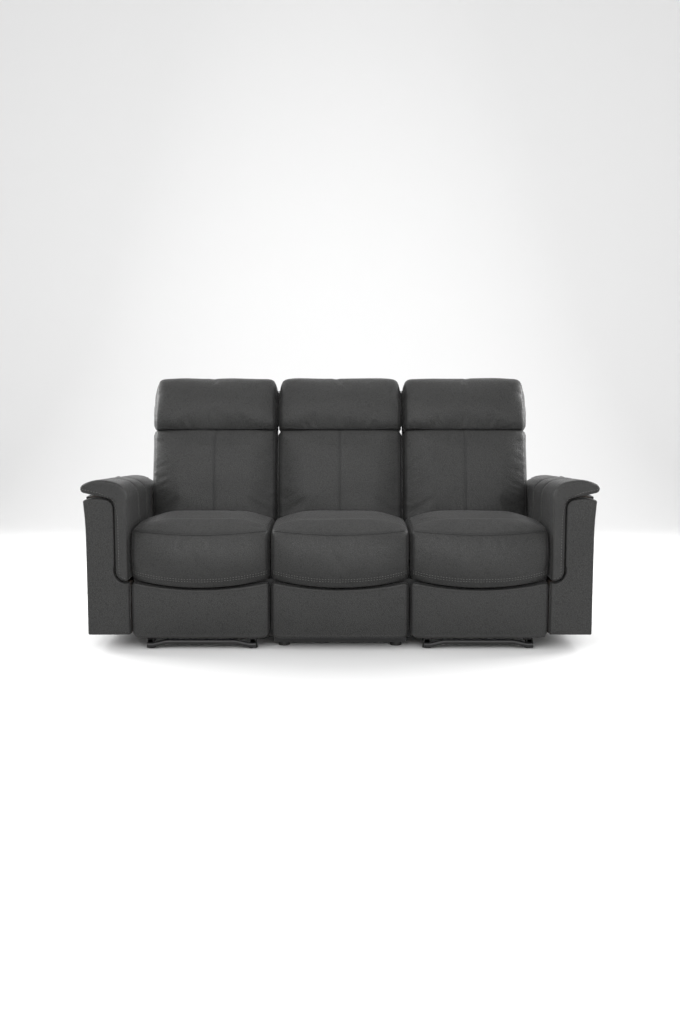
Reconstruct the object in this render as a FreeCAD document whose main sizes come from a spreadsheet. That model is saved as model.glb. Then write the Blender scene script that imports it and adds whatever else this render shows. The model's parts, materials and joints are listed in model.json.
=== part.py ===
import FreeCAD, Part
import math
import os
import Sketcher
from types import SimpleNamespace
from FreeCAD import Vector

# Three-seat reclining sofa, in millimetres. X runs along the sofa, Y from front to back, Z up.
# The origin is on the floor, under the middle of the whole sofa.
# u is the distance behind the foremost point of the seats, so Y is u less half the depth.

SIZES = {
    # whole sofa
    "overall_depth": 940,
    "seat_gap": 12,
    "cushion_width": 533,
    "fabric_clearance": 2.5,
    "running_clearance": 0.05,
    # seat cushion and its rolled front
    "seat_bulge": 46,
    "seat_hem_u": 26,
    "hem_centre_z": 249,
    "hem_rise": 28,
    "front_seam_z": 440,
    "front_seam_rise": 27,
    "seat_top_z": 502,
    "seat_side_drop": 46,
    "seat_rear_setback": 25,
    "seat_base_z": 326,
    "roll_rear_u": 93,
    "roll_rear_z": 292,
    # footrest panel and its board
    "panel_front_u": 36,
    "panel_pad_thick": 40,
    "panel_board_thick": 12,
    "panel_bottom_z": 46,
    "panel_hem_play": 8,
    "panel_corner": 26,
    "panel_board_bottom_z": 60,
    "panel_board_height": 172,
    "panel_board_margin": 43,
    # wooden seat box
    "box_front_u": 95,
    "box_hinge_play": 15,
    "box_board": 22,
    "box_side_inset": 26.5,
    "box_side_height": 91,
    "box_front_height": 34,
    # seat springs
    "spring_wire": 3.8,
    "spring_count": 5,
    "spring_bends": 17,
    "spring_run": 22,
    "spring_below_top": 5,
    # steel plates and rivets
    "plate_thick": 3,
    "layer_play": 1,
    "rivet_radius": 6,
    "link_half_width": 11,
    "plate_margin": 22,
    "plate_top_z": 322,
    "plate_waist_z": 250,
    # swing links
    "front_swing_u": 170,
    "rear_swing_setback": 95,
    "swing_base_z": 95,
    "swing_lean_u": 51,
    "swing_rise": 109,
    # footrest linkage, closed
    "front_link_u": 190,
    "front_link_z": 309,
    "link_tip_u": 292,
    "link_tip_z": 81,
    "rear_link_back": 60,
    "bracket_u": 104,
    "bracket_low_z": 180,
    "bracket_rise": 60,
    "bracket_flange": 25,
    "drive_tube_radius": 8,
    # steel base
    "base_rail_inset": 50,
    "base_rail_width": 24,
    "base_rail_height": 20,
    "base_rail_wall": 2,
    "base_rail_front_u": 70,
    "base_rail_setback": 200,
    "upright_half_length": 20,
    "glide_radius": 18,
    "glide_top_radius": 15,
    "glide_height": 18,
    "glide_inset": 20,
    "cross_bar_radius": 9.5,
    "cross_bar_low_z": 17,
    "cross_bar_rise": 12,
    "cross_bar_knee_inset": 54,
    "cross_bar_foot_inset": 2,
    "cross_bar_bend": 30,
    # back
    "back_reach": 350,
    "back_hinge_z": 310,
    "back_lean": 13,
    "back_front_n": 46,
    "back_seam_tuck": 12,
    "back_side_draw": 22,
    "back_middle_tuck": 8,
    "lumbar_bottom_w": 95,
    "headrest_seam_w": 511,
    "headrest_top_w": 765,
    "headrest_fold": 52,
    "headrest_face": 100,
    "headrest_brow": 75,
    "headrest_crest": 95,
    "headrest_roll": 160,
    "back_corner": 36,
    "back_frame_front_n": 82,
    "back_frame_bottom_w": 30,
    "back_frame_top_w": 700,
    "back_board": 18,
    "back_rail_height": 60,
    "back_bottom_rail_w": 105,
    "back_middle_rail_w": 330,
    "back_cover_thick": 24,
    "back_cover_top_w": 735,
    "back_cover_bottom_w": -100,
    "back_cover_radius": 8,
    "back_bracket_n": 140,
    "back_bracket_low_w": 110,
    "back_bracket_high_w": 240,
    # arms
    "arm_drape_thick": 50,
    "arm_core_top_z": 600,
    "arm_upper_width": 115,
    "arm_flare": 8,
    "arm_flare_height": 190,
    "arm_bottom_z": 60,
    "arm_front_u": 38,
    "arm_post_thick": 38,
    "arm_rear_setback": 78,
    "arm_board": 18,
    "arm_panel_thick": 15,
    "arm_drape_z": 275,
    "arm_drape_radius": 40,
    "arm_pad_top_z": 669,
    "arm_pad_overhang": 15,
    "arm_pad_tip_z": 637,
    "arm_pad_front_u": 24,
    "arm_pad_rear_setback": 22,
    "arm_pad_first_seam_u": 300,
    "arm_pad_second_seam_u": 500,
    "arm_pad_seam_tuck": 13,
    "arm_pad_rear_drop": 16,
    # release handle
    "handle_u": 245,
    "handle_z": 430,
    "handle_length": 92,
    "handle_height": 50,
    "handle_thick": 6,
    "handle_play": 3,
    "bezel_rim": 12,
    "bezel_proud": 3,
    "bezel_wall": 3,
    "bezel_depth": 26,
    "handle_pin_radius": 2.5,
    # centre seat base
    "centre_side_inset": 4.5,
    "centre_board": 18,
    "centre_rail_front_u": 115,
    "centre_rail_depth": 45,
    "centre_foot_height": 14,
    "centre_foot_radius": 23,
    "centre_foot_inset": 39,
    "centre_post_depth": 151,
    "centre_post_top_z": 380,
    # brackets between the seats and the arms
    "tie_height": 60,
}


class Dim:
    """A size that knows both its number and the sheet expression that gives it."""

    def __init__(self, number, text):
        self.number = float(number)
        self.text = text

    def join(self, sign, number, other, first=True):
        """The result of one sum, with its text in the order that it is written in."""
        text = other.text if isinstance(other, Dim) else f"{float(other):.6f}"
        pair = (self.text, text) if first else (text, self.text)
        return Dim(number, f"({pair[0]} {sign} {pair[1]})")

    def __float__(self):
        return self.number

    def __add__(self, other):
        return self.join("+", self.number + float(other), other)

    def __radd__(self, other):
        return self.join("+", float(other) + self.number, other, False)

    def __sub__(self, other):
        return self.join("-", self.number - float(other), other)

    def __rsub__(self, other):
        return self.join("-", float(other) - self.number, other, False)

    def __mul__(self, other):
        return self.join("*", self.number * float(other), other)

    def __rmul__(self, other):
        return self.join("*", float(other) * self.number, other, False)

    def __truediv__(self, other):
        return self.join("/", self.number / float(other), other)

    def __neg__(self):
        return Dim(-self.number, f"(0 - {self.text})")


def sine(angle):
    """Sine of an angle in degrees, as a size."""
    return Dim(math.sin(math.radians(float(angle))), f"sin({angle.text})")


def cosine(angle):
    """Cosine of an angle in degrees, as a size."""
    return Dim(math.cos(math.radians(float(angle))), f"cos({angle.text})")


doc = FreeCAD.newDocument("RecliningSofa")
sheet = doc.addObject("Spreadsheet::Sheet", "Dimensions")
for row, (alias, value) in enumerate(SIZES.items(), start=1):
    sheet.set(f"A{row}", alias)
    sheet.set(f"B{row}", str(value))
    sheet.setAlias(f"B{row}", alias)
doc.recompute()
d = SimpleNamespace(**{alias: Dim(sheet.get(alias), f"Dimensions.{alias}") for alias in SIZES})

# Sizes that follow from others: across the sofa, then from front to back.
d.module_pitch = d.cushion_width + d.seat_gap
d.box_side_inner_x = d.cushion_width / 2 - d.box_side_inset
d.panel_board_width = d.cushion_width - d.panel_board_margin
d.base_rail_x = d.box_side_inner_x - d.base_rail_inset
d.cross_bar_knee_x = d.base_rail_x - d.cross_bar_knee_inset
d.cross_bar_foot_x = d.base_rail_x - d.cross_bar_foot_inset
d.centre_half_width = d.cushion_width / 2 - d.centre_side_inset
d.centre_foot_x = d.centre_half_width - d.centre_foot_inset
d.arm_inner_x = d.module_pitch * 1.5 + d.fabric_clearance
d.arm_core_x = d.arm_inner_x + d.arm_drape_thick
d.arm_outer_x = d.arm_core_x + d.arm_upper_width
d.arm_pad_tip_x = d.arm_outer_x + d.arm_pad_overhang
d.back_hinge_u = d.overall_depth - d.back_reach
d.box_rear_u = d.back_hinge_u - d.box_hinge_play
d.seat_rear_u = d.box_rear_u - d.seat_rear_setback
d.rear_swing_u = d.box_rear_u - d.rear_swing_setback
d.centre_rail_rear_u = d.box_rear_u - d.centre_rail_depth
d.base_rail_rear_u = d.overall_depth - d.base_rail_setback
d.arm_rear_u = d.overall_depth - d.arm_rear_setback
d.arm_pad_rear_u = d.arm_rear_u - d.arm_pad_rear_setback

FRONT_Y = -(d.overall_depth / 2)
ZERO = d.overall_depth - d.overall_depth
nodes = []


# General helpers

def bind(item, prop, size):
    """Tie one property to its sheet expression."""
    item.setExpression(prop, size.text)


def place(item, x, u, z, turn=None):
    """Place a piece, and lean it rearwards by turn degrees about the X axis."""
    if turn is not None:
        item.Placement = FreeCAD.Placement(Vector(0, 0, 0), FreeCAD.Rotation(Vector(1, 0, 0), -float(turn)))
        item.setExpression("Placement.Rotation.Angle", f"360 - {turn.text}")
    bind(item, "Placement.Base.x", x)
    bind(item, "Placement.Base.y", u + FRONT_Y)
    bind(item, "Placement.Base.z", z)
    return item


def node(label, pieces):
    """Keep one named sub-part, made of one piece or of a group of separate pieces."""
    if len(pieces) == 1:
        kept = pieces[0]
    else:
        kept = doc.addObject("Part::Compound", label)
        kept.Links = pieces
    kept.Label = label
    nodes.append(kept)
    return kept


def mirrored(piece, middle=None):
    """The same piece on the other side of the plane x = middle."""
    copy = doc.addObject("Part::Mirroring", piece.Name + "_mirrored")
    copy.Source = piece
    copy.Normal = Vector(1, 0, 0)
    if middle is not None:
        bind(copy, "Base.x", middle)
    return copy


def board(name, x, u, z, length, depth, height):
    """A rectangular board from its low corner and its sides along X, Y and Z."""
    box = doc.addObject("Part::Box", name)
    bind(box, "Length", length)
    bind(box, "Width", depth)
    bind(box, "Height", height)
    return place(box, x, u, z)


def cylinder(name, x, u, z, radius, height, top_radius=None):
    """An upright round piece, tapered when it has a top radius."""
    if top_radius is None:
        item = doc.addObject("Part::Cylinder", name)
        bind(item, "Radius", radius)
    else:
        item = doc.addObject("Part::Cone", name)
        bind(item, "Radius1", radius)
        bind(item, "Radius2", top_radius)
    bind(item, "Height", height)
    return place(item, x, u, z)


def cut(name, base, tool):
    """One piece with another taken out of it."""
    item = doc.addObject("Part::Cut", name)
    item.Base = base
    item.Tool = tool
    return item


def plane_of(body, role):
    """One of a body's own origin planes, found by its role."""
    return [plane for plane in body.Origin.OriginFeatures if plane.Role == role][0]


def side_sketch(body, name):
    """A sketch on the body's YZ plane: its first axis runs along Y and its second along Z."""
    sketch = body.newObject("Sketcher::SketchObject", name)
    sketch.AttachmentSupport = [(plane_of(body, "YZ_Plane"), "")]
    sketch.MapMode = "FlatFace"
    return sketch


def pin_point(sketch, geometry, point, spot):
    """Hold one point of a sketch at a place given by two sizes."""
    if abs(float(spot[0])) < 1e-9 and abs(float(spot[1])) < 1e-9:
        sketch.addConstraint(Sketcher.Constraint("Coincident", geometry, point, -1, 1))
        return
    for kind, size in (("DistanceX", spot[0]), ("DistanceY", spot[1])):
        number = sketch.addConstraint(Sketcher.Constraint(kind, -1, 1, geometry, point, float(size)))
        sketch.setExpression(f"Constraints[{number}]", size.text)


def draw_circle(sketch, spot, radius):
    """A circle about one spot."""
    centre = Vector(float(spot[0]), float(spot[1]), 0)
    circle = sketch.addGeometry(Part.Circle(centre, Vector(0, 0, 1), float(radius)))
    pin_point(sketch, circle, 3, spot)
    number = sketch.addConstraint(Sketcher.Constraint("Radius", circle, float(radius)))
    sketch.setExpression(f"Constraints[{number}]", radius.text)


def draw_slot(sketch, start, end, half_width):
    """A straight bar with round ends, centred on two spots."""
    first = Vector(float(start[0]), float(start[1]), 0)
    last = Vector(float(end[0]), float(end[1]), 0)
    angle = math.atan2(last.y - first.y, last.x - first.x)
    across = Vector(-math.sin(angle), math.cos(angle), 0) * float(half_width)
    quarter = math.pi / 2
    up = Vector(0, 0, 1)
    tail = Part.ArcOfCircle(Part.Circle(first, up, float(half_width)), angle + quarter, angle + 3 * quarter)
    head = Part.ArcOfCircle(Part.Circle(last, up, float(half_width)), angle - quarter, angle + quarter)
    ids = [sketch.addGeometry(curve) for curve in (
        tail, Part.LineSegment(first - across, last - across),
        head, Part.LineSegment(last + across, first + across))]
    for near, far in zip(ids, ids[1:] + ids[:1]):
        sketch.addConstraint(Sketcher.Constraint("Tangent", near, 2, far, 1))
    sketch.addConstraint(Sketcher.Constraint("Equal", ids[0], ids[2]))
    number = sketch.addConstraint(Sketcher.Constraint("Radius", ids[0], float(half_width)))
    sketch.setExpression(f"Constraints[{number}]", half_width.text)
    pin_point(sketch, ids[0], 3, start)
    pin_point(sketch, ids[2], 3, end)


def draw_polygon(sketch, corners):
    """A closed outline of straight edges through corners given by sizes."""
    spots = [Vector(float(u), float(z), 0) for u, z in corners]
    ids = [sketch.addGeometry(Part.LineSegment(a, b)) for a, b in zip(spots, spots[1:] + spots[:1])]
    for near, far in zip(ids, ids[1:] + ids[:1]):
        sketch.addConstraint(Sketcher.Constraint("Coincident", near, 2, far, 1))
    for line, corner in zip(ids, corners):
        pin_point(sketch, line, 1, corner)


def extrude(body, kind, name, sketch, length, inwards=False, both=False):
    """Pad or pocket a sketch by a size, along X or against it."""
    feature = body.newObject(f"PartDesign::{kind}", name)
    feature.Profile = sketch
    feature.Reversed = inwards
    feature.Midplane = both
    bind(feature, "Length", length)
    sketch.Visibility = False
    return feature


def steel_plate(name, bars=(), outlines=(), holes=(), studs=(), flanges=()):
    """A flat steel plate in the YZ plane.

    bars are pairs of spots joined by a round-ended bar, outlines are straight-edged shapes,
    holes are spots with running clearance, studs are (spot, reach) rivets that stand out along X
    when the reach is positive, and flanges are (outline, length) turned towards the seat's middle.
    """
    body = doc.addObject("PartDesign::Body", name)
    for index, outline in enumerate(outlines):
        sketch = side_sketch(body, f"{name}_outline{index}")
        draw_polygon(sketch, outline)
        extrude(body, "Pad", f"{name}_plate{index}", sketch, d.plate_thick)
    for index, (start, end) in enumerate(bars):
        sketch = side_sketch(body, f"{name}_bar{index}")
        draw_slot(sketch, start, end, d.link_half_width)
        extrude(body, "Pad", f"{name}_arm{index}", sketch, d.plate_thick)
    for index, (outline, length) in enumerate(flanges):
        sketch = side_sketch(body, f"{name}_fold{index}")
        draw_polygon(sketch, outline)
        extrude(body, "Pad", f"{name}_flange{index}", sketch, length, inwards=True)
    for index, (spot, reach) in enumerate(studs):
        sketch = side_sketch(body, f"{name}_stud{index}")
        draw_circle(sketch, spot, d.rivet_radius)
        inwards = float(reach) < 0
        extrude(body, "Pad", f"{name}_rivet{index}", sketch, -reach if inwards else reach, inwards)
    for index, spot in enumerate(holes):
        sketch = side_sketch(body, f"{name}_hole{index}")
        draw_circle(sketch, spot, d.rivet_radius + d.running_clearance)
        extrude(body, "Pocket", f"{name}_bore{index}", sketch, d.plate_thick * 4, both=True)
    return body


def outline(plane, start, *moves):
    """A closed wire through flat points. Each move is (end,) for a line or (via, end) for an arc."""
    edges = []
    here = plane(*start)
    for move in moves:
        end = plane(*move[-1])
        if len(move) == 1:
            edges.append(Part.makeLine(here, end))
        else:
            edges.append(Part.Arc(here, plane(*move[0]), end).toShape())
        here = end
    edges.append(Part.makeLine(here, plane(*start)))
    return Part.Wire(edges)


def loft(name, wires):
    """A closed soft form through its sections."""
    item = doc.addObject("Part::Feature", name)
    item.Shape = Part.makeLoft(wires, True, True)
    return item


def bent_tube(name, points, bend, radius):
    """A round tube along straight runs with tangent arcs at its corners."""
    edges = []
    here = points[0]
    for before, corner, after in zip(points, points[1:], points[2:]):
        back = (before - corner).normalize()
        ahead = (after - corner).normalize()
        half = back.getAngle(ahead) / 2
        reach = bend / math.tan(half)
        start = corner + back * reach
        end = corner + ahead * reach
        middle = (back + ahead).normalize()
        via = corner + middle * (bend / math.sin(half) - bend)
        edges.append(Part.makeLine(here, start))
        edges.append(Part.Arc(start, via, end).toShape())
        here = end
    edges.append(Part.makeLine(here, points[-1]))
    path = Part.Wire(edges)
    tangent = (points[1] - points[0]).normalize()
    profile = Part.Wire([Part.makeCircle(radius, points[0], tangent)])
    item = doc.addObject("Part::Feature", name)
    item.Shape = path.makePipeShell([profile], True, False)
    expected = math.pi * radius * radius * path.Length
    print(f"{name}: tube volume over section times length {item.Shape.Volume / expected:.4f}")
    return item


# Places shared by several pieces, in u and z

HALF_CUSHION = d.cushion_width / 2
SIDE_PLATE_X = d.box_side_inner_x - d.plate_thick
LAYER = d.plate_thick + d.layer_play
REAR_LINK_X = SIDE_PLATE_X - LAYER
UPPER_LINK_X = SIDE_PLATE_X - LAYER * 2
FRONT_LINK_X = SIDE_PLATE_X - LAYER * 3
LOWER_LINK_X = SIDE_PLATE_X - LAYER * 4
SWING_X = SIDE_PLATE_X + LAYER
UPRIGHT_X = SIDE_PLATE_X + LAYER * 2
BACK_SIDE_X = SWING_X + d.plate_thick
RAIL_TOP_Z = d.glide_height + d.base_rail_height
PANEL_REAR_U = d.panel_front_u + d.panel_pad_thick
PANEL_BACK_U = PANEL_REAR_U + d.panel_board_thick

FRONT_LINK_TOP = (d.front_link_u, d.front_link_z)
REAR_LINK_TOP = (d.front_link_u + d.rear_link_back, d.front_link_z)
FRONT_LINK_TIP = (d.link_tip_u, d.link_tip_z)
FRONT_LINK_SECOND = (d.link_tip_u, d.link_tip_z + d.bracket_rise)
REAR_LINK_TIP = (d.link_tip_u + d.rear_link_back, d.link_tip_z)
BRACKET_LOW = (d.bracket_u, d.bracket_low_z)
BRACKET_HIGH = (d.bracket_u, d.bracket_low_z + d.bracket_rise)
BACK_HINGE = (d.back_hinge_u, d.back_hinge_z)
SWING_FOOT = {"front": (d.front_swing_u, d.swing_base_z), "rear": (d.rear_swing_u, d.swing_base_z)}
SWING_TOP = {end: (foot[0] + d.swing_lean_u, foot[1] + d.swing_rise) for end, foot in SWING_FOOT.items()}

# The rear cover ends exactly at the sofa's depth, with its top edge rounded.
LEAN_SIN = sine(d.back_lean)
LEAN_COS = cosine(d.back_lean)
COVER_REAR_N = d.back_cover_radius + (
    d.overall_depth - d.back_hinge_u - d.back_cover_radius
    - (d.back_cover_top_w - d.back_cover_radius) * LEAN_SIN) / LEAN_COS
COVER_FRONT_N = COVER_REAR_N - d.back_cover_thick

# Shares of the half width at which a cushion's sections are drawn, closer together at its rounded ends.
SHARES = (0.0, 0.1, 0.3, 0.55, 0.78, 0.88, 0.95, 1.0)
SECTIONS = tuple(-share for share in reversed(SHARES[1:])) + SHARES


def hem_height(share):
    """Height of the seat's lower front edge, which bows down towards the middle of the seat."""
    return float(d.hem_centre_z) + float(d.hem_rise) * share ** 2


def corner_drop(distance, half_width, radius):
    """How far a rounded corner has fallen at a distance from the middle."""
    past = max(0.0, distance - (half_width - radius))
    return radius - math.sqrt(max(0.0, radius ** 2 - min(past, radius) ** 2))


# Soft forms

def seat_section(share):
    """The seat cushion's outline at a share of its half width: front roll, crown and rear."""
    x = float(HALF_CUSHION) * share
    side = abs(share)
    front = float(d.seat_bulge) * side ** 2.6
    drop = float(d.seat_side_drop) * side ** 4
    hem_z = hem_height(side)
    seam_z = float(d.front_seam_z) + float(d.front_seam_rise) * side ** 2 - drop * 0.25
    top_z = float(d.seat_top_z) - drop
    fold_u = front + float(d.seat_hem_u)
    rear_u = float(d.seat_rear_u)
    base_z = float(d.seat_base_z)
    roll_u = float(d.roll_rear_u)
    span = rear_u - roll_u
    return outline(
        lambda u, z: Vector(x, u, z),
        (fold_u, hem_z),
        ((front, (hem_z + seam_z) / 2), (fold_u, seam_z)),
        ((fold_u + 0.09 * span, top_z - 14), (roll_u + 0.12 * span, top_z - 6)),
        ((roll_u + 0.45 * span, top_z), (rear_u - 46, top_z - 20)),
        ((rear_u - 11, top_z - 33), (rear_u, top_z - 60)),
        ((rear_u, base_z),),
        ((roll_u, base_z),),
        ((roll_u, float(d.roll_rear_z)),))


def panel_section(share):
    """The padded footrest panel's outline, with its top edge under the seat's hem."""
    half_width = float(HALF_CUSHION)
    x = half_width * share
    side = abs(share)
    rounding = corner_drop(abs(x), half_width, float(d.panel_corner))
    front = float(d.panel_front_u) + 10 * side ** 8
    rear = float(PANEL_REAR_U)
    low = float(d.panel_bottom_z) + rounding * 0.9
    high = hem_height(side) - float(d.panel_hem_play) - rounding * 0.25
    edge = 12.0
    return outline(
        lambda u, z: Vector(x, u, z),
        (rear, low),
        ((front + edge, low),),
        ((front + edge * 0.3, low + edge * 0.3), (front + 3, low + edge)),
        ((front, (low + high) / 2), (front + 3, high - edge)),
        ((front + edge * 0.3, high - edge * 0.3), (front + edge, high)),
        ((rear, high),))


def back_depth(share):
    """How far the back's front face is drawn in at a share of its half width."""
    side = abs(share)
    middle = max(0.0, 1 - side / SHARES[2])
    return float(d.back_side_draw) * side ** 6 + float(d.back_middle_tuck) * middle


def lumbar_section(share):
    """The lower back cushion's outline, in the back's own n and w."""
    x = float(HALF_CUSHION) * share
    draw = back_depth(share)
    front = -float(d.back_front_n) + draw
    rear = float(d.back_frame_front_n)
    low = float(d.lumbar_bottom_w)
    high = float(d.headrest_seam_w) - 1
    tuck = float(d.back_seam_tuck)
    return outline(
        lambda n, w: Vector(x, n, w),
        (rear, low),
        ((front + 46, low),),
        ((front + 10, low + 14), (front, low + 60)),
        ((front - 9, (low + high) / 2), (front + 2, high - 50)),
        ((front + tuck * 0.3, high - 22), (front + tuck, high)),
        ((rear, high),))


def headrest_section(share):
    """The headrest's outline, which rolls over the top of the back's frame."""
    half_width = float(HALF_CUSHION)
    x = half_width * share
    draw = back_depth(share)
    rounding = corner_drop(abs(x), half_width, float(d.back_corner))
    front = -float(d.back_front_n) + draw
    rest = float(d.back_frame_front_n)
    low = float(d.headrest_seam_w)
    top = float(d.headrest_top_w) - rounding - float(d.back_middle_tuck) * 0.5 * max(0.0, 1 - abs(share) * 6)
    shelf = float(d.back_frame_top_w) + 2
    rear = float(COVER_FRONT_N)
    tuck = float(d.back_seam_tuck)
    crest = float(d.headrest_crest)
    top = max(top, shelf + 24)
    return outline(
        lambda n, w: Vector(x, n, w),
        (rest, low),
        ((front + tuck, low),),
        ((front + tuck * 0.3, low + float(d.headrest_fold) * 0.42), (front, low + float(d.headrest_fold))),
        ((front + 1, low + float(d.headrest_face)), (front + 16, top - float(d.headrest_brow))),
        ((front + crest * 0.42, top - float(d.headrest_brow) * 0.29), (front + crest, top - 1)),
        ((front + float(d.headrest_roll), top - 4), (rear, shelf + 14)),
        ((rear, shelf),),
        ((rest, shelf),))


def arm_pad_section(u, puff, drop):
    """The arm pad's outline at one depth; puff is 0 in a seam and 1 at the fullest place.

    Its inner corner is rounded over the post and square over the frame's boards.
    """
    core = float(d.arm_core_x)
    inner = float(d.arm_inner_x)
    shelf = float(d.arm_core_top_z)
    tuck = float(d.arm_pad_seam_tuck) * (1 - puff)
    top = float(d.arm_pad_top_z) - drop - tuck
    tip_x = float(d.arm_pad_tip_x) - tuck * 0.8
    tip_z = float(d.arm_pad_tip_z) - drop * 0.5
    foot = float(d.arm_drape_z)
    turn = float(d.arm_drape_radius)
    half_root = math.sqrt(0.5)
    inset = tuck * 0.4
    over_post = u < float(d.arm_front_u + d.arm_post_thick) - 0.5
    corner = ((core + 6, shelf - 10), (core, shelf - 34)) if over_post else ((core, shelf),)
    return outline(
        lambda x, z: Vector(x, u, z),
        (core, foot + turn),
        ((core - turn + turn * half_root, foot + turn - turn * half_root), (core - turn, foot)),
        ((inner + inset + 3, foot + 3), (inner + inset, foot + 10)),
        ((inner + inset, shelf - 20),),
        ((inner + 16 + inset, top - 26), (core + 6, top - 5)),
        ((core + 62, top), (tip_x - 13, top - 15)),
        ((tip_x, tip_z), (tip_x - 9, tip_z - 17)),
        ((core + 30, shelf),),
        corner)


def arm_pad():
    """The long arm pad: three stuffed lengths with a seam across between them."""
    front = float(d.arm_pad_front_u)
    rear = float(d.arm_pad_rear_u)
    first = float(d.arm_pad_first_seam_u)
    second = float(d.arm_pad_second_seam_u)
    fall = float(d.arm_pad_rear_drop)
    frame = float(d.arm_front_u + d.arm_post_thick)
    stations = [(front, 0.35, 0.0), (front + 14, 0.9, 0.0), (frame - 1, 0.95, 0.0), (frame, 0.95, 0.0),
                ((frame + first) / 2, 1.0, 0.0),
                (first - 26, 0.8, fall * 0.2), (first, 0.0, fall * 0.25), (first + 26, 0.8, fall * 0.3),
                ((first + second) / 2, 1.0, fall * 0.4), (second - 26, 0.8, fall * 0.6),
                (second, 0.0, fall * 0.65), (second + 26, 0.8, fall * 0.7),
                ((second + rear) / 2, 1.0, fall), (rear - 22, 0.8, fall + 8), (rear, 0.2, fall + 20)]
    return loft("arm_pad", [arm_pad_section(*station) for station in stations])


# Pieces that every seat has

def seat_cushion(name, middle):
    """The stuffed seat cushion with its rolled front."""
    return place(loft(name, [seat_section(share) for share in SECTIONS]), middle, ZERO, ZERO)


def front_pad(name, middle):
    """The stuffed front panel under the seat."""
    return place(loft(name, [panel_section(share) for share in SECTIONS]), middle, ZERO, ZERO)


def back_form(name, middle, section):
    """A stuffed back section, leaning with the back."""
    form = loft(name, [section(share) for share in SECTIONS])
    return place(form, middle, d.back_hinge_u, d.back_hinge_z, d.back_lean)


def front_board(name, middle):
    """The plywood board behind a front panel."""
    width = d.panel_board_width
    return board(name, middle - width / 2, PANEL_REAR_U, d.panel_board_bottom_z,
                 width, d.panel_board_thick, d.panel_board_height)


def back_frame(name, middle):
    """Two uprights and three cross rails of the back, in its own leaning frame."""
    outer = BACK_SIDE_X + d.back_board
    height = d.back_frame_top_w - d.back_frame_bottom_w
    depth = COVER_FRONT_N - d.back_frame_front_n
    pieces = []
    for side, x in (("left", -outer), ("right", BACK_SIDE_X)):
        upright = board(f"{name}_{side}", ZERO, ZERO, ZERO, d.back_board, depth, height)
        pieces.append((upright, x, d.back_frame_front_n, d.back_frame_bottom_w))
    for level, w in (("top", d.back_frame_top_w - d.back_rail_height),
                     ("middle", d.back_middle_rail_w), ("bottom", d.back_bottom_rail_w)):
        rail = board(f"{name}_{level}", ZERO, ZERO, ZERO, BACK_SIDE_X * 2, d.back_board, d.back_rail_height)
        pieces.append((rail, -BACK_SIDE_X, d.back_frame_front_n, w))
    return [lean_place(piece, middle + x, n, w) for piece, x, n, w in pieces]


def lean_place(piece, x, n, w):
    """Place a piece by its n and w in the leaning back."""
    u = d.back_hinge_u + n * LEAN_COS + w * LEAN_SIN
    z = d.back_hinge_z - n * LEAN_SIN + w * LEAN_COS
    return place(piece, x, u, z, d.back_lean)


def back_cover(name, middle):
    """The padded rear cover with rounded edges."""
    half = BACK_SIDE_X + d.back_board
    height = d.back_cover_top_w - d.back_cover_bottom_w
    box = board(f"{name}_block", ZERO, ZERO, ZERO, half * 2, d.back_cover_thick, height)
    lean_place(box, middle - half, COVER_FRONT_N, d.back_cover_bottom_w)
    doc.recompute()
    rear_edges = [number for number, edge in enumerate(box.Shape.Edges, start=1)
                  if on_cover_rear(box, edge)]
    rounded = doc.addObject("Part::Fillet", name)
    rounded.Base = box
    radius = min(float(d.back_cover_radius), float(d.back_cover_thick) * 0.45)
    rounded.Edges = [(number, radius, radius) for number in rear_edges]
    return rounded


def on_cover_rear(box, edge):
    """True where an edge lies in the block's rear face."""
    turned = box.Placement.inverse()
    return all(abs(turned.multVec(vertex.Point).y - float(box.Width)) < 1e-6 for vertex in edge.Vertexes)


def seat_springs(name, middle):
    """Five zigzag wire springs that run from the front board to the rear board."""
    start = float(d.box_front_u + d.box_board)
    end = float(d.box_rear_u - d.box_board)
    bends = int(float(d.spring_bends))
    step = (end - start) / (bends + 1)
    radius = step / 2
    run = float(d.spring_run)
    z = float(d.seat_base_z - d.spring_below_top)
    wire_radius = float(d.spring_wire) / 2
    count = int(float(d.spring_count))
    pitch = float(d.box_side_inner_x) * 2 / (count + 0.6)
    shapes = []
    for index in range(count):
        x = (index - (count - 1) / 2) * pitch
        edges = [Part.makeLine(Vector(x, start, z), Vector(x, start + step - radius, z)),
                 quarter_bend(x, start + step - radius, z, radius, 1)]
        u = start + step
        for bend in range(bends - 1):
            side = 1 if bend % 2 == 0 else -1
            near = x + side * radius if bend == 0 else x - side * run
            edges.append(Part.makeLine(Vector(near, u, z), Vector(x + side * run, u, z)))
            centre = Vector(x + side * (run + radius), u + radius, z)
            edges.append(Part.Arc(Vector(x + side * run, u, z), centre,
                                  Vector(x + side * run, u + step, z)).toShape())
            u += step
        side = 1 if bends % 2 == 1 else -1
        edges.append(Part.makeLine(Vector(x - side * run, u, z), Vector(x - side * radius, u, z)))
        edges.append(quarter_bend(x, u + radius, z, radius, -side, leaving=True))
        edges.append(Part.makeLine(Vector(x, u + radius, z), Vector(x, end, z)))
        path = Part.Wire(edges)
        circle = Part.Wire([Part.makeCircle(wire_radius, Vector(x, start, z), Vector(0, 1, 0))])
        shape = path.makePipeShell([circle], True, False)
        shapes.append(shape)
    ratio = shapes[0].Volume / (math.pi * wire_radius ** 2 * path.Length)
    least_gap = step - 2 * wire_radius
    print(f"{name}: wire volume over section times length {ratio:.4f}, least gap {least_gap:.2f}")
    item = doc.addObject("Part::Feature", name)
    item.Shape = Part.Compound(shapes)
    return place(item, middle, ZERO, ZERO)


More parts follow.
